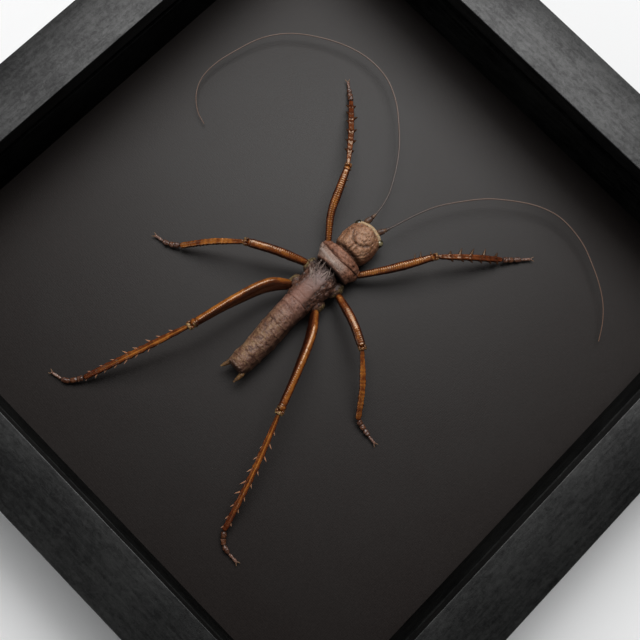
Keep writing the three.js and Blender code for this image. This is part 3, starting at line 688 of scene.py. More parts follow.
for number, lump in enumerate(FRONT_SOCKETS):
    socket_lump(collar, *lump, 13 + number)
# The collar's grooves, creases and its joint with the head are painted dark as shade.
mark(collar, collar_furrows)
skin, tone, patch, small, pebble = cuticle(
    "collar skin", rgb(0.115, 0.042, 0.023), rgb(0.25, 0.105, 0.060), rgb(0.37, 0.185, 0.118),
    rgb(0.03, 0.012, 0.008), 0.5, 0.8,
)
apart = skin.axis("X") - 0.3
forward = skin.axis("Y")
rear_edge = 9.0 + apart * apart * 0.03 - forward
rear = skin.mask(rear_edge + patch * 0.5, 0.2, 0.5) * skin.mask(forward, 6.3, 6.9)
rear = rear * (1 - skin.mask(apart + small * 1.5, 3.0, 5.0))
ashen = skin.mix(skin.mask(small, 0.38, 0.6), rgb(0.16, 0.098, 0.076), rgb(0.38, 0.275, 0.225))
# A thin pale line along the rear band, on its left side only: a painted highlight.
rim = skin.mask(rear_edge + small * 0.3, 1.35, 1.6) * (1 - skin.mask(rear_edge + small * 0.3, 1.95, 2.3))
rim = rim * (1 - skin.mask(apart, -1.0, 3.0))
# Painted shade under the collar's rear edge, where it overhangs the thorax.
overhang_shade = 1 - skin.mask(forward + small * 0.3, 6.2, 6.9)
collar_skin = skin.surface(
    Base_Color=skin.coats(
        tone, (rear * 0.85, ashen), (rim * 0.5, rgb(0.50, 0.41, 0.36)), (overhang_shade, rgb(0.03, 0.014, 0.01)),
    ),
    Roughness=0.42 + small * 0.2,
    Specular_IOR_Level=0.35,
    Normal=skin.bump(small * 0.6 + pebble * 0.4, 0.18, 0.85),
)
piece("collar", standing(collar), collar_skin, "pale_cuticle", "pronotum")

# The thorax: the middle and rear rings, with a smooth mauve plate on top, wrinkled dark flanks with
# painted shade in their creases, and mossy leg sockets.
THORAX = [
    [5.75, 0.4, 5.4, 2.0, 2.0], [5.6, 0.4, 5.4, 3.2, 3.0], [4.6, 0.4, 5.4, 4.1, 3.7],
    [3.2, 0.4, 5.4, 4.8, 4.4], [0.8, 0.4, 5.4, 5.0, 4.7], [-1.4, 0.4, 5.4, 4.8, 4.6],
    [-4.4, 0.3, 5.3, 4.5, 4.35], [-6.3, 0.3, 5.2, 4.25, 4.15], [-7.1, 0.4, 5.2, 4.1, 4.0],
    [-7.3, 0.4, 5.2, 3.7, 3.6],
]
REAR_SOCKETS = [
    [-4.6, 3.4, 4.6, 1.9, 2.6, 2.5], [5.3, 3.4, 4.4, 1.8, 2.6, 2.4],
    [-4.3, -2.9, 4.4, 2.0, 2.4, 2.5], [4.7, -3.6, 4.3, 2.0, 2.4, 2.4],
]


def flank(spot):
    """0 on the smooth plate along the back, 1 well outside it."""
    return clamped((abs(spot.x - 0.1 - 0.03 * spot.y) - 2.0) / 1.1)


def thorax_furrows(spot):
    x, y, z = spot
    creases = max(0.0, wrinkle((x * 1.9, y * 0.8, z * 1.9), 0.9, 15)) ** 2 * 2.2 * flank(spot)
    plate_edge = near(abs(x - 0.1), 2.4 + 0.4 * wrinkle(spot, 1.4, 4), 0.2) * near(y, -0.6, 3.6)
    seam = near(y + 0.5 * wrinkle(spot, 1.5, 3), -2.2, 0.16)
    seam += 0.6 * near(y + 0.4 * wrinkle(spot, 1.2, 8), -5.0, 0.16)
    return creases + 0.6 * plate_edge + 0.3 * seam


def thorax_relief(spot, top):
    rough = 0.3 + 0.7 * flank(spot)
    lumps = 0.30 * wrinkle(spot, 1.3, 21) + 0.14 * wrinkle(spot, 0.6, 4) + 0.06 * wrinkle(spot, 0.28, 9)
    return rough * lumps - 0.32 * thorax_furrows(spot)


thorax = bmesh.new()
body_part(thorax, THORAX, 144, 120, thorax_relief)
for number, lump in enumerate(REAR_SOCKETS):
    socket_lump(thorax, *lump, 31 + number)
# The flank creases, the plate's edge and the seams are painted dark as shade.
mark(thorax, thorax_furrows)
skin, tone, patch, small, pebble = cuticle(
    "thorax skin", rgb(0.026, 0.011, 0.007), rgb(0.09, 0.038, 0.024), rgb(0.21, 0.10, 0.064),
    rgb(0.010, 0.005, 0.004), 0.6, 0.9,
)
across = skin.axis("X")
forward = skin.axis("Y")
mossy = skin.mask(abs(across - 0.4) + small * 2.4, 6.2, 7.2) * skin.mask(patch, 0.42, 0.55)
moss_tone = skin.ramp(
    small * 0.6 + patch * 0.4,
    (0.38, rgb(0.035, 0.022, 0.010)), (0.5, rgb(0.13, 0.09, 0.032)), (0.62, rgb(0.34, 0.27, 0.12)),
)
plate = 1 - skin.mask(abs(across + 0.3) + small * 0.8, 2.1, 3.2)
mauve = skin.mix(skin.mask(forward, -4.5, 1.5), rgb(0.25, 0.122, 0.09), rgb(0.19, 0.128, 0.115))
mauve = skin.mix(skin.mask(small, 0.55, 0.7) * 0.5, mauve, rgb(0.31, 0.21, 0.18))
# Painted shade in the gap at the front of the thorax, under the collar.
crevice_shade = skin.mask(forward + small * 1.0, 3.6, 4.9)
thorax_skin = skin.surface(
    Base_Color=skin.coats(
        tone, (plate * 0.8, mauve), (crevice_shade * 0.85, rgb(0.012, 0.006, 0.005)), (mossy * 0.85, moss_tone),
        # The creases darkened once more as painted shade.
        (skin.attribute("mark") * 0.6, rgb(0.014, 0.007, 0.005)),
    ),
    Roughness=0.32 + small * 0.25,
    Specular_IOR_Level=0.4,
    Normal=skin.bump(small * 0.6 + pebble * 0.4, 0.2, 0.85),
)
piece("thorax_shell", standing(thorax), thorax_skin, "brown_cuticle", "thorax")

# Torn dry skin: pale strips and dozens of finer fibres that lie over the gap between the collar
# and the thorax, most of them slanting forwards to the left.
STRIPS = 16
FIBRES = 44
BACK_MIDDLE = Vector((0.4, 0, 5.4))
BACK_HALF_WIDTH = 4.75
BACK_HALF_HEIGHT = 4.6
FARTHEST_OUT = 4.9
chance = random.Random(7)
fringe = bmesh.new()


def lay_fibre(root_x, root_y, length, width, lift):
    """One fibre from a place on the thorax's back, that stands a little proud of it."""
    angle = math.acos(max(-0.95, min(0.95, (root_x - BACK_MIDDLE.x) / FARTHEST_OUT)))
    out = Vector((math.cos(angle), 0, math.sin(angle)))
    root = BACK_MIDDLE + Vector((out.x * BACK_HALF_WIDTH, root_y, out.z * BACK_HALF_HEIGHT))
    lean = Vector((-0.5 + chance.uniform(-0.7, 0.6), 1.0, 0)) + out * lift
    bend = out * chance.uniform(-0.15, 0.1) + Vector((chance.uniform(-0.15, 0.15), 0, 0))
    thorn(fringe, root, lean.normalized(), length, width, bend, 5)


for number in range(STRIPS):
    root_x, root_y = chance.uniform(-3.2, 2.8), chance.uniform(-0.5, 4.0)
    lay_fibre(root_x, root_y, chance.uniform(2.4, 4.2), chance.uniform(0.35, 0.65), 0.06)
for number in range(FIBRES):
    root_x, root_y = chance.uniform(-4.2, 4.4), chance.uniform(1.2, 5.0)
    lay_fibre(root_x, root_y, chance.uniform(0.8, 2.2), chance.uniform(0.08, 0.18), 0.2)
straw = Finish("dry fibres")
strand = straw.noise(0.7, 4, 0.65)
straw_colour = straw.ramp(
    strand, (0.38, rgb(0.03, 0.014, 0.010)), (0.50, rgb(0.13, 0.085, 0.068)), (0.62, rgb(0.29, 0.22, 0.185)),
)
straw_finish = straw.surface(Base_Color=straw_colour, Roughness=0.6, Normal=straw.bump(strand, 0.1, 0.5))
piece("torn_skin_fibres", standing(fringe), straw_finish, "pale_cuticle")

# The abdomen: nine rings that slide under one another, dried a little sunken and mottled, with a
# dark ragged tip between the two tail feelers.
ABDOMEN = [
    [-7.0, 0.4, 5.1, 3.0, 2.9], [-7.15, 0.4, 5.15, 4.0, 3.9], [-10.0, 0.5, 5.1, 3.9, 3.9],
    [-14.0, 0.6, 5.0, 3.85, 3.8], [-18.0, 0.9, 4.9, 3.85, 3.7], [-22.0, 1.2, 4.7, 3.7, 3.6],
    [-26.0, 1.4, 4.6, 3.5, 3.4], [-30.0, 1.3, 4.4, 3.3, 3.2], [-32.0, 1.2, 4.3, 2.7, 2.5],
    [-32.4, 1.2, 4.3, 1.6, 1.5],
]
ABDOMEN_RINGS = 9
ABDOMEN_LENGTH = 25.3


def ring_part(spot):
    """How far back a place lies on its ring of the abdomen: 0 at the ring's front, 1 at its rear."""
    wander = 0.6 * wrinkle(spot, 1.8, 2) + 0.34 * wrinkle(spot, 0.6, 5)
    return ((-7.1 - spot.y + wander) / ABDOMEN_LENGTH * ABDOMEN_RINGS) % 1.0


def abdomen_furrows(spot):
    part = ring_part(spot)
    broken = 0.05 + 0.7 * clamped(0.32 + 1.4 * wrinkle(spot, 1.6, 33))
    pits = max(0.0, wrinkle(spot, 0.8, 44) - 0.22) * 1.6
    rim = near(part, 0.97, 0.06) + near(part, -0.03, 0.06)
    return broken * 0.5 * rim + pits + 0.5 * max(0.0, -31.4 - spot.y)


def abdomen_relief(spot, top):
    part = ring_part(spot)
    step = 0.09 * min(1.0, part / 0.7) + 0.05 * near(part, 0.85, 0.08)
    sunken = 0.22 * near(top, 0.25, 0.25) * near(spot.y, -17, 9)
    lumps = 0.24 * wrinkle(spot, 2.4, 9) + 0.12 * wrinkle(spot, 0.9, 17) + 0.05 * wrinkle(spot, 0.4, 5)
    ragged = 0.5 * wrinkle(spot, 0.6, 25) * clamped((-30.6 - spot.y) / 1.5)
    return step - 0.12 * abdomen_furrows(spot) - sunken + lumps + ragged


abdomen = bmesh.new()
body_part(abdomen, ABDOMEN, 132, 330, abdomen_relief)
# The creases between the rings and the pits are painted dark as shade; the tip is dark of itself.
mark(abdomen, abdomen_furrows)
# The raised rear edge of each ring is painted pale as a highlight.
mark(abdomen, lambda spot: near(ring_part(spot), 0.8, 0.16) * (0.5 + 0.5 * wrinkle(spot, 2.0, 51)), "pale")
skin, tone, patch, small, pebble = cuticle(
    "abdomen skin", rgb(0.066, 0.026, 0.016), rgb(0.155, 0.067, 0.043), rgb(0.26, 0.135, 0.085),
    rgb(0.022, 0.009, 0.006), 0.2, 0.6,
)
across = skin.axis("X")
forward = skin.axis("Y")
# Tan patches, only on the left half, which faces the lamps: the skin's own mottling and a painted highlight.
sandy_patches_and_highlight = skin.mask(patch + small * 0.3, 0.52, 0.85) * (1 - skin.mask(across, 0.2, 2.8))
sandy_patches_and_highlight = sandy_patches_and_highlight * skin.mask(forward * -1.0, 9.0, 14.0)
mottled = skin.mask(forward * -1.0, 13.0, 20.0)
olive = skin.mask(small * 0.7 + patch * 0.3, 0.50, 0.60) * mottled
umber = skin.mask(1 - (small * 0.6 + patch * 0.4), 0.50, 0.60) * mottled
rosy = skin.mask(forward, -15.0, -9.0) * skin.mask(small, 0.35, 0.6)
shaded = skin.mask(across + small * 1.2, 2.2, 4.8)
# Painted highlight on the raised rear edge of each ring.
ring_edge_highlight = skin.mask(skin.attribute("pale") + small * 0.5, 0.5, 1.2)
tip = skin.mask(forward * -1.0 + small * 1.5, 31.4, 33.0)
abdomen_skin = skin.surface(
    Base_Color=skin.coats(
        tone, (sandy_patches_and_highlight * 0.5, rgb(0.26, 0.165, 0.085)), (olive * 0.55, rgb(0.23, 0.145, 0.060)),
        (umber * 0.6, rgb(0.055, 0.024, 0.013)), (rosy * 0.5, rgb(0.26, 0.13, 0.10)),
        (shaded * 0.7, rgb(0.035, 0.015, 0.010)), (ring_edge_highlight * 0.35, rgb(0.30, 0.165, 0.105)),
        (tip * 0.85, rgb(0.03, 0.012, 0.008)),
    ),
    Roughness=0.33 + small * 0.25,
    Specular_IOR_Level=0.4,
    Normal=skin.bump(small * 0.55 + pebble * 0.45, 0.2, 0.85),
)
piece("abdomen_shell", standing(abdomen), abdomen_skin, "brown_cuticle", "abdomen")

# The tail feelers: two short tan cones with fine hairs.
CERCI = {
    "left_cercus": [[-0.8, -31.0, 4.6], [-1.3, -32.8, 4.4], [-2.0, -34.7, 4.0]],
    "right_cercus": [[3.8, -31.0, 4.6], [3.9, -33.2, 4.4], [3.7, -35.4, 4.0]],
}
TAIL_HAIRS = 70
CERCUS_ROWS = [[0, 1.1, 1.1], [0.3, 1.5, 1.5], [0.7, 1.0, 1.0], [1, 0.25, 0.25]]
skin, tone, patch, small, pebble = cuticle(
    "tail feeler skin", rgb(0.05, 0.021, 0.008), rgb(0.16, 0.078, 0.026), rgb(0.33, 0.19, 0.07),
    rgb(0.06, 0.03, 0.015), 0.5, 0.9,
)
tail_skin = skin.surface(Base_Color=tone, Roughness=0.45, Normal=skin.bump(small, 0.1, 0.6))
for name, points in CERCI.items():
    feeler = bmesh.new()
    line = Line(points)
    limb(feeler, line, CERCUS_ROWS, 20, 24, lambda share, angle, spot: 0.06 * wrinkle(spot, 0.5))
    for number in range(TAIL_HAIRS):
        share = chance.uniform(0.15, 0.98)
        here, across, up, ahead = line.ring(share)
        turn = chance.uniform(0, 2 * math.pi)
        outward = across * math.cos(turn) + up * math.sin(turn)
        root = here + outward * read_rows(CERCUS_ROWS, share)[0] * 0.47
        thorn(feeler, root, (outward + ahead * 0.8).normalized(), chance.uniform(0.15, 0.4), 0.035, sides=3)
    piece(f"{name}_cone", standing(feeler), tail_skin, "brown_cuticle", name)

# The antennae: two thick dark joints at the brow and a ringed thread far longer than the body.
ANTENNAE = {
    "left_antenna": [
        [-2.5, 22.6, 6.4], [-2.1, 26.6, 7.0], [-3.3, 32.7, 6.5], [-6.2, 38.7, 6.0], [-11.2, 46.1, 5.0],
        [-16.5, 51.6, 4.5], [-22.4, 56.5, 4.0], [-29.4, 59.9, 3.5], [-37.1, 60.6, 3.2], [-44.1, 59.1, 3.0],
        [-52.0, 55.3, 2.8], [-59.7, 49.3, 2.7], [-64.4, 42.3, 2.6], [-66.8, 34.5, 2.4], [-68.2, 26.2, 2.2],
        [-67.6, 20.4, 2.0], [-65.1, 16.0, 1.8], [-61.0, 12.8, 1.5], [-57.2, 11.6, 1.2],
    ],
    "right_antenna": [
        [1.9, 22.8, 6.4], [3.4, 26.1, 7.0], [4.5, 30.1, 6.6], [6.0, 35.3, 6.2], [8.3, 41.3, 5.8],
        [12.4, 48.1, 5.2], [17.1, 54.3, 4.8], [22.4, 59.1, 4.5], [27.3, 62.7, 4.2], [31.5, 64.8, 4.0],
        [35.8, 66.0, 3.8], [41.1, 66.0, 3.5], [46.5, 65.0, 3.2], [52.0, 62.7, 3.0], [57.2, 60.0, 2.8],
        [61.8, 56.8, 2.4], [65.6, 52.7, 2.0], [68.7, 47.8, 1.5],
    ],
}
SCAPE_LENGTH = 3.4
THREAD_WIDTH = 0.48
THREAD_TIP = 0.20
RINGS_ALONG = 230

thread = Finish("antenna skin")
along = thread.attribute("along")
ringed = along * RINGS_ALONG
joint_mark = thread.mask(ringed.sum("FRACT", ringed), 0.55, 0.85)
thread_tone = thread.ramp(
    along, (0.0, rgb(0.05, 0.018, 0.009)), (0.008, rgb(0.10, 0.045, 0.02)), (0.022, rgb(0.03, 0.010, 0.006)),
    (0.028, rgb(0.16, 0.085, 0.045)), (0.036, rgb(0.045, 0.026, 0.020)), (0.14, rgb(0.060, 0.042, 0.035)),
    (0.3, rgb(0.115, 0.068, 0.048)), (1.0, rgb(0.15, 0.078, 0.048)),
)
antenna_skin = thread.surface(
    Base_Color=thread.mix(joint_mark * 0.5, thread_tone, rgb(0.045, 0.022, 0.014)),
    Roughness=0.4,
    Normal=thread.bump(joint_mark, 0.03, 0.5),
)
for name, points in ANTENNAE.items():
    feeler = bmesh.new()
    line = Line(points)
    scape = SCAPE_LENGTH / line.length
    rows = [
        [0, 1.3, 1.3], [scape * 0.3, 1.8, 1.7], [scape * 0.72, 1.6, 1.5], [scape * 0.8, 0.9, 0.9],
        [scape * 0.92, 1.25, 1.2], [scape * 1.05, 0.7, 0.7], [scape * 1.15, 0.95, 0.9],
        [scape * 1.3, THREAD_WIDTH, THREAD_WIDTH],
        [1, THREAD_TIP, THREAD_TIP],
    ]

    def ring_relief(share, angle, spot):
        return 0.02 * near((share * RINGS_ALONG) % 1, 0.5, 0.3)

    limb(feeler, line, rows, 10, 620, ring_relief)
    piece(f"{name}_thread", standing(feeler), antenna_skin, "antenna_tan", name)

# The legs: glossy amber shells. A thigh swells to a pale two-lobed knee that holds the shin's knuckle,
# and the shin has two keels and a row of thorns up each side. Each shell has a painted highlight along
# its upper edge and painted shade down its sides. A hind thigh leans, so that its inner face, painted
# dark as shade, shows beside its upper edge, painted bright as a highlight.
LEGS = {
    "left_fore": {
        "kind": "fore", "inner": 1, "reach": 0.7, "lean": 0,
        "femur": [[-5.6, 11.2, 4.2], [-11.3, 18.0, 6.6], [-14.6, 24.7, 8.2], [-17.4, 30.7, 9.0]],
        "tibia": [[-24.1, 39.0, 6.0], [-32.2, 47.7, 2.0]],
        "tarsus": [[-35.0, 49.9, 1.1], [-37.5, 51.8, 0.9]],
    },
    "right_fore": {
        "kind": "fore", "inner": -1, "reach": 1.15, "lean": 0,
        "femur": [[6.4, 10.6, 4.2], [12.5, 19.4, 6.6], [18.5, 29.6, 8.6]],
        "tibia": [[25.6, 37.6, 5.8], [32.5, 45.0, 2.0]],
        "tarsus": [[35.3, 48.2, 1.1], [38.5, 51.9, 0.9]],
    },
    "left_middle": {
        "kind": "middle", "inner": 1, "reach": 1, "lean": 0,
        "femur": [[-5.6, 3.2, 5.0], [-14.1, -1.3, 8.4], [-21.3, -5.6, 9.6]],
        "tibia": [[-28.4, -11.6, 6.4], [-35.3, -18.8, 1.8]],
        "tarsus": [[-38.6, -20.8, 1.1], [-42.7, -21.7, 0.9]],
    },
    "right_middle": {
        "kind": "middle", "inner": -1, "reach": 1, "lean": 0,
        "femur": [[6.6, 2.8, 5.0], [15.4, -0.3, 8.6], [22.1, -3.6, 9.2]],
        "tibia": [[29.6, -10.6, 6.4], [35.6, -17.8, 1.8]],
        "tarsus": [[39.5, -18.5, 1.1], [43.7, -19.1, 0.9]],
    },
    "left_hind": {
        "kind": "hind", "inner": -1, "reach": 1, "lean": 0.6,
        "femur": [[-4.4, -4.3, 5.0], [-8.5, -9.6, 8.0], [-11.7, -19.5, 10.0], [-14.9, -33.0, 11.0]],
        "tibia": [[-20.3, -48.0, 7.2], [-26.3, -63.8, 2.0]],
        "tarsus": [[-29.3, -67.8, 1.1], [-34.1, -69.2, 0.9]],
    },
    "right_hind": {
        "kind": "hind", "inner": 1, "reach": 1, "lean": -0.3,
        "femur": [[5.3, -4.8, 5.0], [9.8, -11.2, 8.0], [14.0, -20.1, 10.0], [18.9, -32.2, 11.0]],
        "tibia": [[25.3, -48.2, 7.2], [31.0, -65.3, 2.0]],
        "tarsus": [[33.9, -68.1, 1.1], [39.7, -68.8, 0.9]],
    },
}
LEG_KINDS = {
    "fore": {
        "femur": [
            [0, 1.5, 1.5], [0.06, 1.9, 2.1], [0.3, 2.3, 2.6],
            [0.6, 2.7, 2.8], [0.8, 2.4, 2.5], [0.93, 2.1, 2.1],
        ],
        "knee": 2.6,
        "tibia": [[0, 1, 1.1], [0.08, 1.3, 1.5], [0.3, 1.7, 1.6], [0.75, 1.8, 1.6], [1, 1.3, 1.3]],
        "thigh_thorns": [[0.74, 1.8], [0.82, 1.8], [0.95, 1.2]],
        "inner_thorns": [[0.2, 1.2], [0.34, 1.9], [0.5, 2.1], [0.7, 2.1], [0.88, 1.5]],
        "outer_thorns": [[0.22, 0.9], [0.36, 0.9], [0.5, 1], [0.64, 1], [0.78, 1], [0.9, 0.9]],
        "ribs": 0.065,
        "thorn_width": 1.6,
        "thorn_lean": 0.4,
    },
    "middle": {
        "femur": [[0, 1.6, 1.7], [0.06, 2.2, 2.4], [0.3, 2.7, 2.9], [0.7, 2.7, 2.8], [0.93, 2.6, 2.3]],
        "knee": 2.9,
        "tibia": [[0, 1, 1.1], [0.06, 1.3, 1.4], [0.4, 1.7, 1.6], [0.8, 1.7, 1.5], [1, 1.5, 1.3]],
        "thigh_thorns": [],
        "inner_thorns": [[0.3, 0.6], [0.45, 0.6], [0.6, 0.7], [0.75, 0.7], [0.9, 0.7]],
        "outer_thorns": [[0.35, 0.6], [0.5, 0.6], [0.65, 0.7], [0.8, 0.7], [0.93, 0.7]],
        "ribs": 0.03,
        "thorn_width": 0.9,
        "thorn_lean": 0.9,
    },
    "hind": {
        "femur": [
            [0, 1.6, 1.8], [0.05, 2.4, 3.6], [0.2, 2.8, 4.8],
            [0.45, 2.6, 4], [0.75, 2.3, 2.8], [0.94, 2.3, 2.2],
        ],
        "knee": 3.1,
        "tibia": [[0, 1, 1.2], [0.05, 1.4, 1.6], [0.3, 1.8, 1.5], [0.8, 1.7, 1.4], [1, 1.4, 1.3]],
        "thigh_thorns": [],
        "inner_thorns": [
            [0.27, 1.3], [0.36, 1.7], [0.46, 2.0], [0.56, 2.3],
            [0.66, 2.0], [0.76, 1.8], [0.86, 1.6], [0.95, 1.2],
        ],
        "outer_thorns": [
            [0.14, 1.3], [0.24, 1.7], [0.34, 1.8], [0.45, 1.8],
            [0.56, 1.7], [0.67, 1.6], [0.78, 1.4], [0.9, 1.2],
        ],
        "ribs": 0.02,
        "thorn_width": 0.85,
        "thorn_lean": 1.1,
    },
}
THORN_SINK = 0.7
RIB_PITCH = 0.62
PAD_ROWS = [
    [0, 1.1], [0.06, 1.6], [0.17, 1.55], [0.2, 1.15], [0.24, 1.5], [0.36, 1.45], [0.4, 0.9], [0.48, 1.5],
    [0.6, 1.35], [0.66, 0.7], [0.92, 0.8], [1, 0.5],
]
CLAW_LENGTH = 1.5


# Amber tones: DEEP for the painted shade on a shell's sides, ORANGE between, BRIGHT and ROSY for its painted
# highlight on top.
DEEP = rgb(0.026, 0.0055, 0.0020)
ORANGE = rgb(0.130, 0.028, 0.0042)
BRIGHT = rgb(0.38, 0.130, 0.019)
ROSY = rgb(0.30, 0.100, 0.034)
PALE_THORN = rgb(0.40, 0.20, 0.12)
GOLD_THORN = rgb(0.30, 0.105, 0.034)
DARK_THORN = rgb(0.030, 0.009, 0.004)


def amber(name, low, bright=BRIGHT, thorn_root=DARK_THORN, thorn_tip=DARK_THORN, dark_end=0.0):
    """Glossy see-into shell with a painted highlight along its upper edge and dark red painted shade below.
    `low` is where, up from its side, the painted shade begins to give way to the highlight; `dark_end` how
    much it darkens towards the foot."""
    shell = Finish(name)
    along = shell.attribute("along")
    flow = shell.noise(0.3, 4, 0.6, warp=0.6)
    dapple = shell.noise(1.7, 3, 0.6)
    # Painted light: deep at the shell's sides, orange higher up, bright along its top.
    light = shell.attribute("upper") + (flow - 0.5) * 0.7 + (dapple - 0.5) * 0.3
    clear = shell.ramp(shell.mask(light, low, low + 0.5), (0.0, DEEP), (0.5, ORANGE), (1.0, bright))
    root = 1 - shell.mask(along + dapple * 0.05, 0.02, 0.16)
    beat = shell.noise(0.5, 2, 0.5, (1, 1, 1), (4, 8, 1))
    end = shell.mask(along + beat * 0.2, 0.62, 0.98)
    # Painted shade in the grooves between ribs, in the valleys along the top and in the hinge groove,
    # together with dark marks at the thorn bases and on the knee lobes.
    groove_shade_and_dark_marks = shell.attribute("mark") * (0.5 + dapple * 0.8)
    spotted = shell.mix(shell.mask(dapple, 0.46, 0.58), rgb(0.10, 0.036, 0.012), rgb(0.40, 0.27, 0.11))
    grown = shell.attribute("thorn")
    spine = shell.mix(shell.mask(grown, 0.3, 0.85), thorn_root, thorn_tip)
    colour = shell.coats(
        clear, (root * 0.55, rgb(0.035, 0.012, 0.005)), (end * dark_end, rgb(0.080, 0.013, 0.0035)),
        (groove_shade_and_dark_marks, rgb(0.045, 0.010, 0.0035)), (shell.attribute("pale"), spotted),
        (shell.mask(grown, 0.02, 0.15), spine),
    )
    return shell.surface(
        Base_Color=colour,
        Roughness=0.17 + dapple * 0.12 + grown * 0.3,
        Normal=shell.bump(flow * 0.5 + dapple * 0.5, 0.035, 0.7),
        Specular_IOR_Level=0.6,
        Specular_Tint=rgb(1.0, 0.70, 0.42),
        Coat_Weight=0.3 - grown * 0.3,
        Coat_Roughness=0.12,
        Subsurface_Weight=0.1,
        Subsurface_Radius=(1.0, 0.35, 0.1),
        Subsurface_Scale=0.6 * MM,
    )


THIGH_SHELLS = {
    "fore": amber("front thigh shell", 0.6),
    "middle": amber("middle thigh shell", 0.68),
    "hind": amber("hind thigh shell", 0.6),
}
SHIN_SHELLS = {
    "fore": amber("front shin shell", 0.78, ROSY, dark_end=0.5),
    "middle": amber("middle shin shell", 0.66, thorn_root=ORANGE, dark_end=0.4),
    "hind": amber("hind shin shell", 0.32, BRIGHT, GOLD_THORN, PALE_THORN, 0.85),
}


def bead(mesh, middle, half_sizes, axes, paint):
    """A smooth lump with its half sizes along three axes. paint(x, y, z) takes a place on a ball."""
    turn = Matrix(axes).transposed().to_4x4()
    place = Matrix.Translation(middle) @ turn @ Matrix.Diagonal((*half_sizes, 1))
    made = bmesh.ops.create_icosphere(mesh, subdivisions=4, radius=1)["verts"]
    for vert in made:
        for name, value in paint(*vert.co).items():
            vert[mesh.verts.layers.float[name]] = value
        vert.co = place @ vert.co


def side_thorns(mesh, line, rows, side, forward, reach, width):
    """A row of thorns up one side of a limb, which lean towards its foot."""
    for share, length in rows:
        here, across, up, ahead = line.ring(share)
        slant = forward * chance.uniform(0.6, 1.5)
        way = (across * side + ahead * slant + up * 0.1).normalized()
        long = (length * reach + THORN_SINK - 0.3) * chance.uniform(0.97, 1.05)
        thorn(mesh, here + way * 0.2, way, long, width, ahead * 0.18, 9, share)


def ribbed_part(share):
    """1 along the ribbed part of a thigh, 0 at its root and its knee."""
    return clamped(share * 10) * clamped((0.93 - share) * 12)


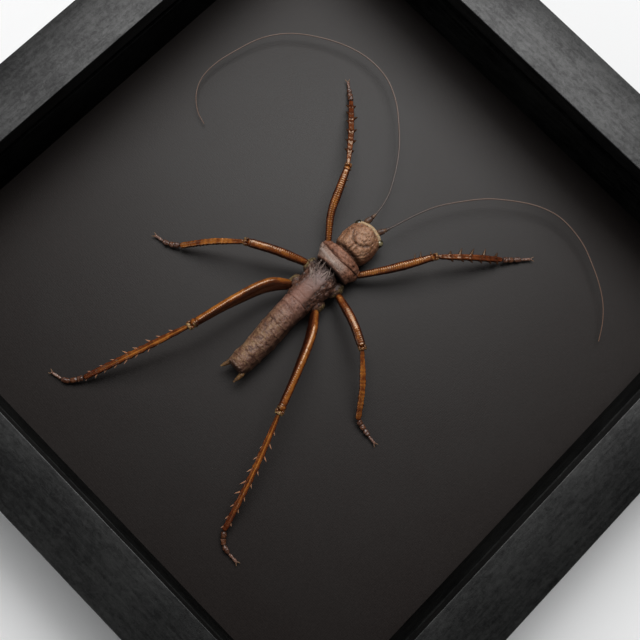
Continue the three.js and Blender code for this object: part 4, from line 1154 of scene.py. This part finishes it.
for name, leg in LEGS.items():
    kind = leg["kind"]
    sizes = LEG_KINDS[kind]
    thigh_line = Line(leg["femur"])
    shin_line = Line([leg["femur"][-1], *leg["tibia"]])
    wide = sizes["knee"]

    def thigh_relief(share, angle, spot):
        keels = 0.05 * math.cos(4 * (angle - math.pi / 4)) * min(1.0, share * 8)
        rib_rows = near(angle, math.pi * 0.33, 0.3) + near(angle, math.pi * 0.67, 0.3)
        ribs = math.cos(2 * math.pi * share * thigh_line.length / RIB_PITCH + 1.2 * wrinkle(spot, 2.5))
        hinge = 0.08 * near(share, 0.945, 0.012)
        ribs = sizes["ribs"] * ribs * rib_rows * ribbed_part(share)
        return keels + ribs - hinge + 0.05 * wrinkle(spot, 1.1, 3)

    # The mark is painted shade in the grooves between ribs, along the valley on top and in the hinge groove.
    def thigh_paint(share, angle):
        groove = 0.5 - 0.5 * math.cos(2 * math.pi * share * thigh_line.length / RIB_PITCH)
        middle = near(angle, math.pi / 2, 0.12)
        ribbed = ribbed_part(share) * max(groove, middle) * sizes["ribs"] * 10
        rim = 0.7 * near(share, 0.975, 0.008) * abs(math.cos(angle))
        return {"mark": min(1.0, ribbed + 0.9 * near(share, 0.945, 0.012)), "pale": rim}

    thigh = bmesh.new()
    rows = sizes["femur"] + [[0.965, wide * 0.88, wide * 0.85], [1, wide * 0.6, wide * 0.6]]
    limb(thigh, thigh_line, rows, 40, 260, thigh_relief, thigh_paint, leg["lean"])
    here, across, up, ahead = thigh_line.ring(1.0)
    axes = (across, ahead, up)
    for way in (-1, 1):
        lobe = here + across * way * wide * 0.27 + ahead * wide * 0.06

        def rim_paint(x, y, z, way=way):
            rim = max(near(x * way, 0.95, 0.3), near(y, 1.0, 0.4))
            dark = 0.5 * near(x * way, 0.2, 0.3)
            return {"along": 0.99, "upper": 0.75, "pale": min(1.0, rim * 1.2), "mark": dark}

        bead(thigh, lobe, (wide * 0.16, wide * 0.31, wide * 0.28), axes, rim_paint)
    knuckle = here + ahead * wide * 0.2 + up * wide * 0.1
    knuckle_paint = {"along": 0.99, "upper": 0.9, "pale": 0.9 if kind == "hind" else 0.4}
    broad = wide * (0.34 if kind == "hind" else 0.24)
    bead(thigh, knuckle, (broad, wide * 0.18, wide * 0.22), axes, lambda x, y, z: knuckle_paint)
    side_thorns(thigh, thigh_line, sizes["thigh_thorns"], leg["inner"], 0.2, leg["reach"], 1.1)
    piece(f"{name}_thigh", standing(thigh), THIGH_SHELLS[kind], "amber_cuticle", f"{name}_femur")

    thorn_shares = [row[0] for row in sizes["inner_thorns"] + sizes["outer_thorns"]]

    def shin_relief(share, angle, spot):
        keels = 0.12 * math.cos(4 * (angle - math.pi / 4)) * min(1.0, share * 8)
        knobs = sum(near(share, place, 0.016) for place in thorn_shares) * 0.12 * abs(math.cos(angle))
        return keels + knobs + 0.05 * wrinkle(spot, 0.9, 3) + 0.02 * wrinkle(spot, 0.35, 5)

    # The mark is dark at each thorn's base, and on fore and middle shins painted shade along the valley on
    # top. 'upper' is painted light: bright along the top and the ridges, dark down the sides, and a little
    # brighter on the middle shins' knobs.
    def shin_paint(share, angle):
        base = max(near(share, place, 0.028) for place in thorn_shares)
        side = {"fore": 0.5 + 0.4 * abs(math.cos(angle)), "middle": 0.1, "hind": 0.3}[kind]
        valley = 0.2 * near(angle, math.pi / 2, 0.2) * min(1.0, share * 6) if kind != "hind" else 0.0
        ridge = near(angle, math.pi * 0.25, 0.3) + near(angle, math.pi * 0.75, 0.3)
        lit = math.sin(angle) + 0.3 * ridge
        if kind == "hind":
            lit = 0.4 + 0.15 * math.sin(angle) + 0.4 * near(angle, math.pi * 0.53, 0.16) + 0.05 * ridge
        if kind == "middle":
            lit += 0.16 * base - 0.06
        return {"mark": min(1.0, base * side + valley), "upper": lit}

    shin = bmesh.new()
    limb(shin, shin_line, sizes["tibia"], 32, 190, shin_relief, shin_paint)
    shape = (sizes["thorn_lean"], leg["reach"], sizes["thorn_width"])
    side_thorns(shin, shin_line, sizes["inner_thorns"], leg["inner"], *shape)
    side_thorns(shin, shin_line, sizes["outer_thorns"], -leg["inner"], shape[0], max(1.1, shape[1]), shape[2])
    piece(f"{name}_shin", standing(shin), SHIN_SHELLS[kind], "amber_cuticle", f"{name}_tibia")

# The feet: three soft dull pads in dark brown, then a slim pinkish last joint with two hooked claws,
# glued to the board.
sole = Finish("foot shell")
along = sole.attribute("along")
dapple = sole.noise(1.6, 4, 0.65)
pads = sole.ramp(
    along + (dapple - 0.5) * 0.25, (0.0, rgb(0.045, 0.013, 0.005)), (0.3, rgb(0.11, 0.038, 0.015)),
    (0.55, rgb(0.055, 0.019, 0.010)), (0.66, rgb(0.11, 0.048, 0.028)), (1.0, rgb(0.17, 0.085, 0.058)),
)
foot_shell = sole.surface(
    Base_Color=sole.coats(
        pads, (sole.mask(dapple, 0.55, 0.68) * 0.5, rgb(0.27, 0.155, 0.105)),
        (sole.attribute("mark") * 0.8, rgb(0.012, 0.005, 0.003)),
        (sole.mask(sole.attribute("thorn"), 0.4, 0.8), rgb(0.22, 0.13, 0.07)),
    ),
    Roughness=0.26 + dapple * 0.2,
    Normal=sole.bump(dapple, 0.1, 0.7),
    Coat_Weight=0.25,
)


def foot_relief(share, angle, spot):
    return 0.14 * wrinkle(spot, 0.6) + 0.05 * wrinkle(spot, 0.25, 3)


# The notches between the pads are painted dark as shade.
def foot_paint(share, angle):
    return {"mark": min(1.0, sum(near(share, notch, 0.02) for notch in (0.01, 0.2, 0.4, 0.66)))}


for name, leg in LEGS.items():
    foot_line = Line([leg["tibia"][-1], *leg["tarsus"]])
    foot = bmesh.new()
    rows = [[share, width, width * 0.8] for share, width in PAD_ROWS]
    limb(foot, foot_line, rows, 28, 90, foot_relief, foot_paint)
    here, across, up, ahead = foot_line.ring(0.95)
    for way in (-1, 1):
        heading = (ahead + across * way * 0.8).normalized()
        thorn(foot, here, heading, CLAW_LENGTH, 0.55, up * -0.1 - across * way * 0.25, 9)
    piece(f"{name}_foot", standing(foot), foot_shell, "dark_amber_cuticle", f"{name}_tarsus")

# The studio: a plain pale floor, two big soft lights beyond the frame's top and left sides, a weak
# low one before its foot, and a dim even room.
FLOOR_SIZE = 6.0
floor_mesh = bmesh.new()
bmesh.ops.create_grid(floor_mesh, x_segments=1, y_segments=1, size=FLOOR_SIZE / 2)
floor_data = bpy.data.meshes.new("floor")
floor_mesh.to_mesh(floor_data)
floor_mesh.free()
floor = bpy.data.objects.new("floor", floor_data)
bpy.context.scene.collection.objects.link(floor)
pale = Finish("pale floor")
floor_data.materials.append(pale.surface(Base_Color=rgb(0.86, 0.86, 0.86), Roughness=0.9))


def soft_light(name, place, size, power):
    lamp = bpy.data.lights.new(name, "AREA")
    lamp.shape = "RECTANGLE"
    lamp.size, lamp.size_y = size
    lamp.energy = power
    made = bpy.data.objects.new(name, lamp)
    made.location = place
    made.rotation_euler = (-Vector(place)).to_track_quat("-Z", "Y").to_euler()
    made.visible_transmission = False
    bpy.context.scene.collection.objects.link(made)


soft_light("window top", (-0.16, 0.72, 1.05), (0.7, 0.7), 8.6)
soft_light("window left", (-0.50, 0.38, 1.0), (0.7, 0.7), 8.6)
soft_light("pale wall", (-0.25, -0.90, 0.42), (0.9, 0.7), 2.2)
room = bpy.data.worlds.new("room")
room.use_nodes = True
air = room.node_tree.nodes["Background"]
air.inputs["Color"].default_value = rgb(0.95, 0.98, 1.0)
air.inputs["Strength"].default_value = 0.12
room.cycles_visibility.transmission = False
bpy.context.scene.world = room
bpy.context.scene.view_settings.view_transform = "Standard"
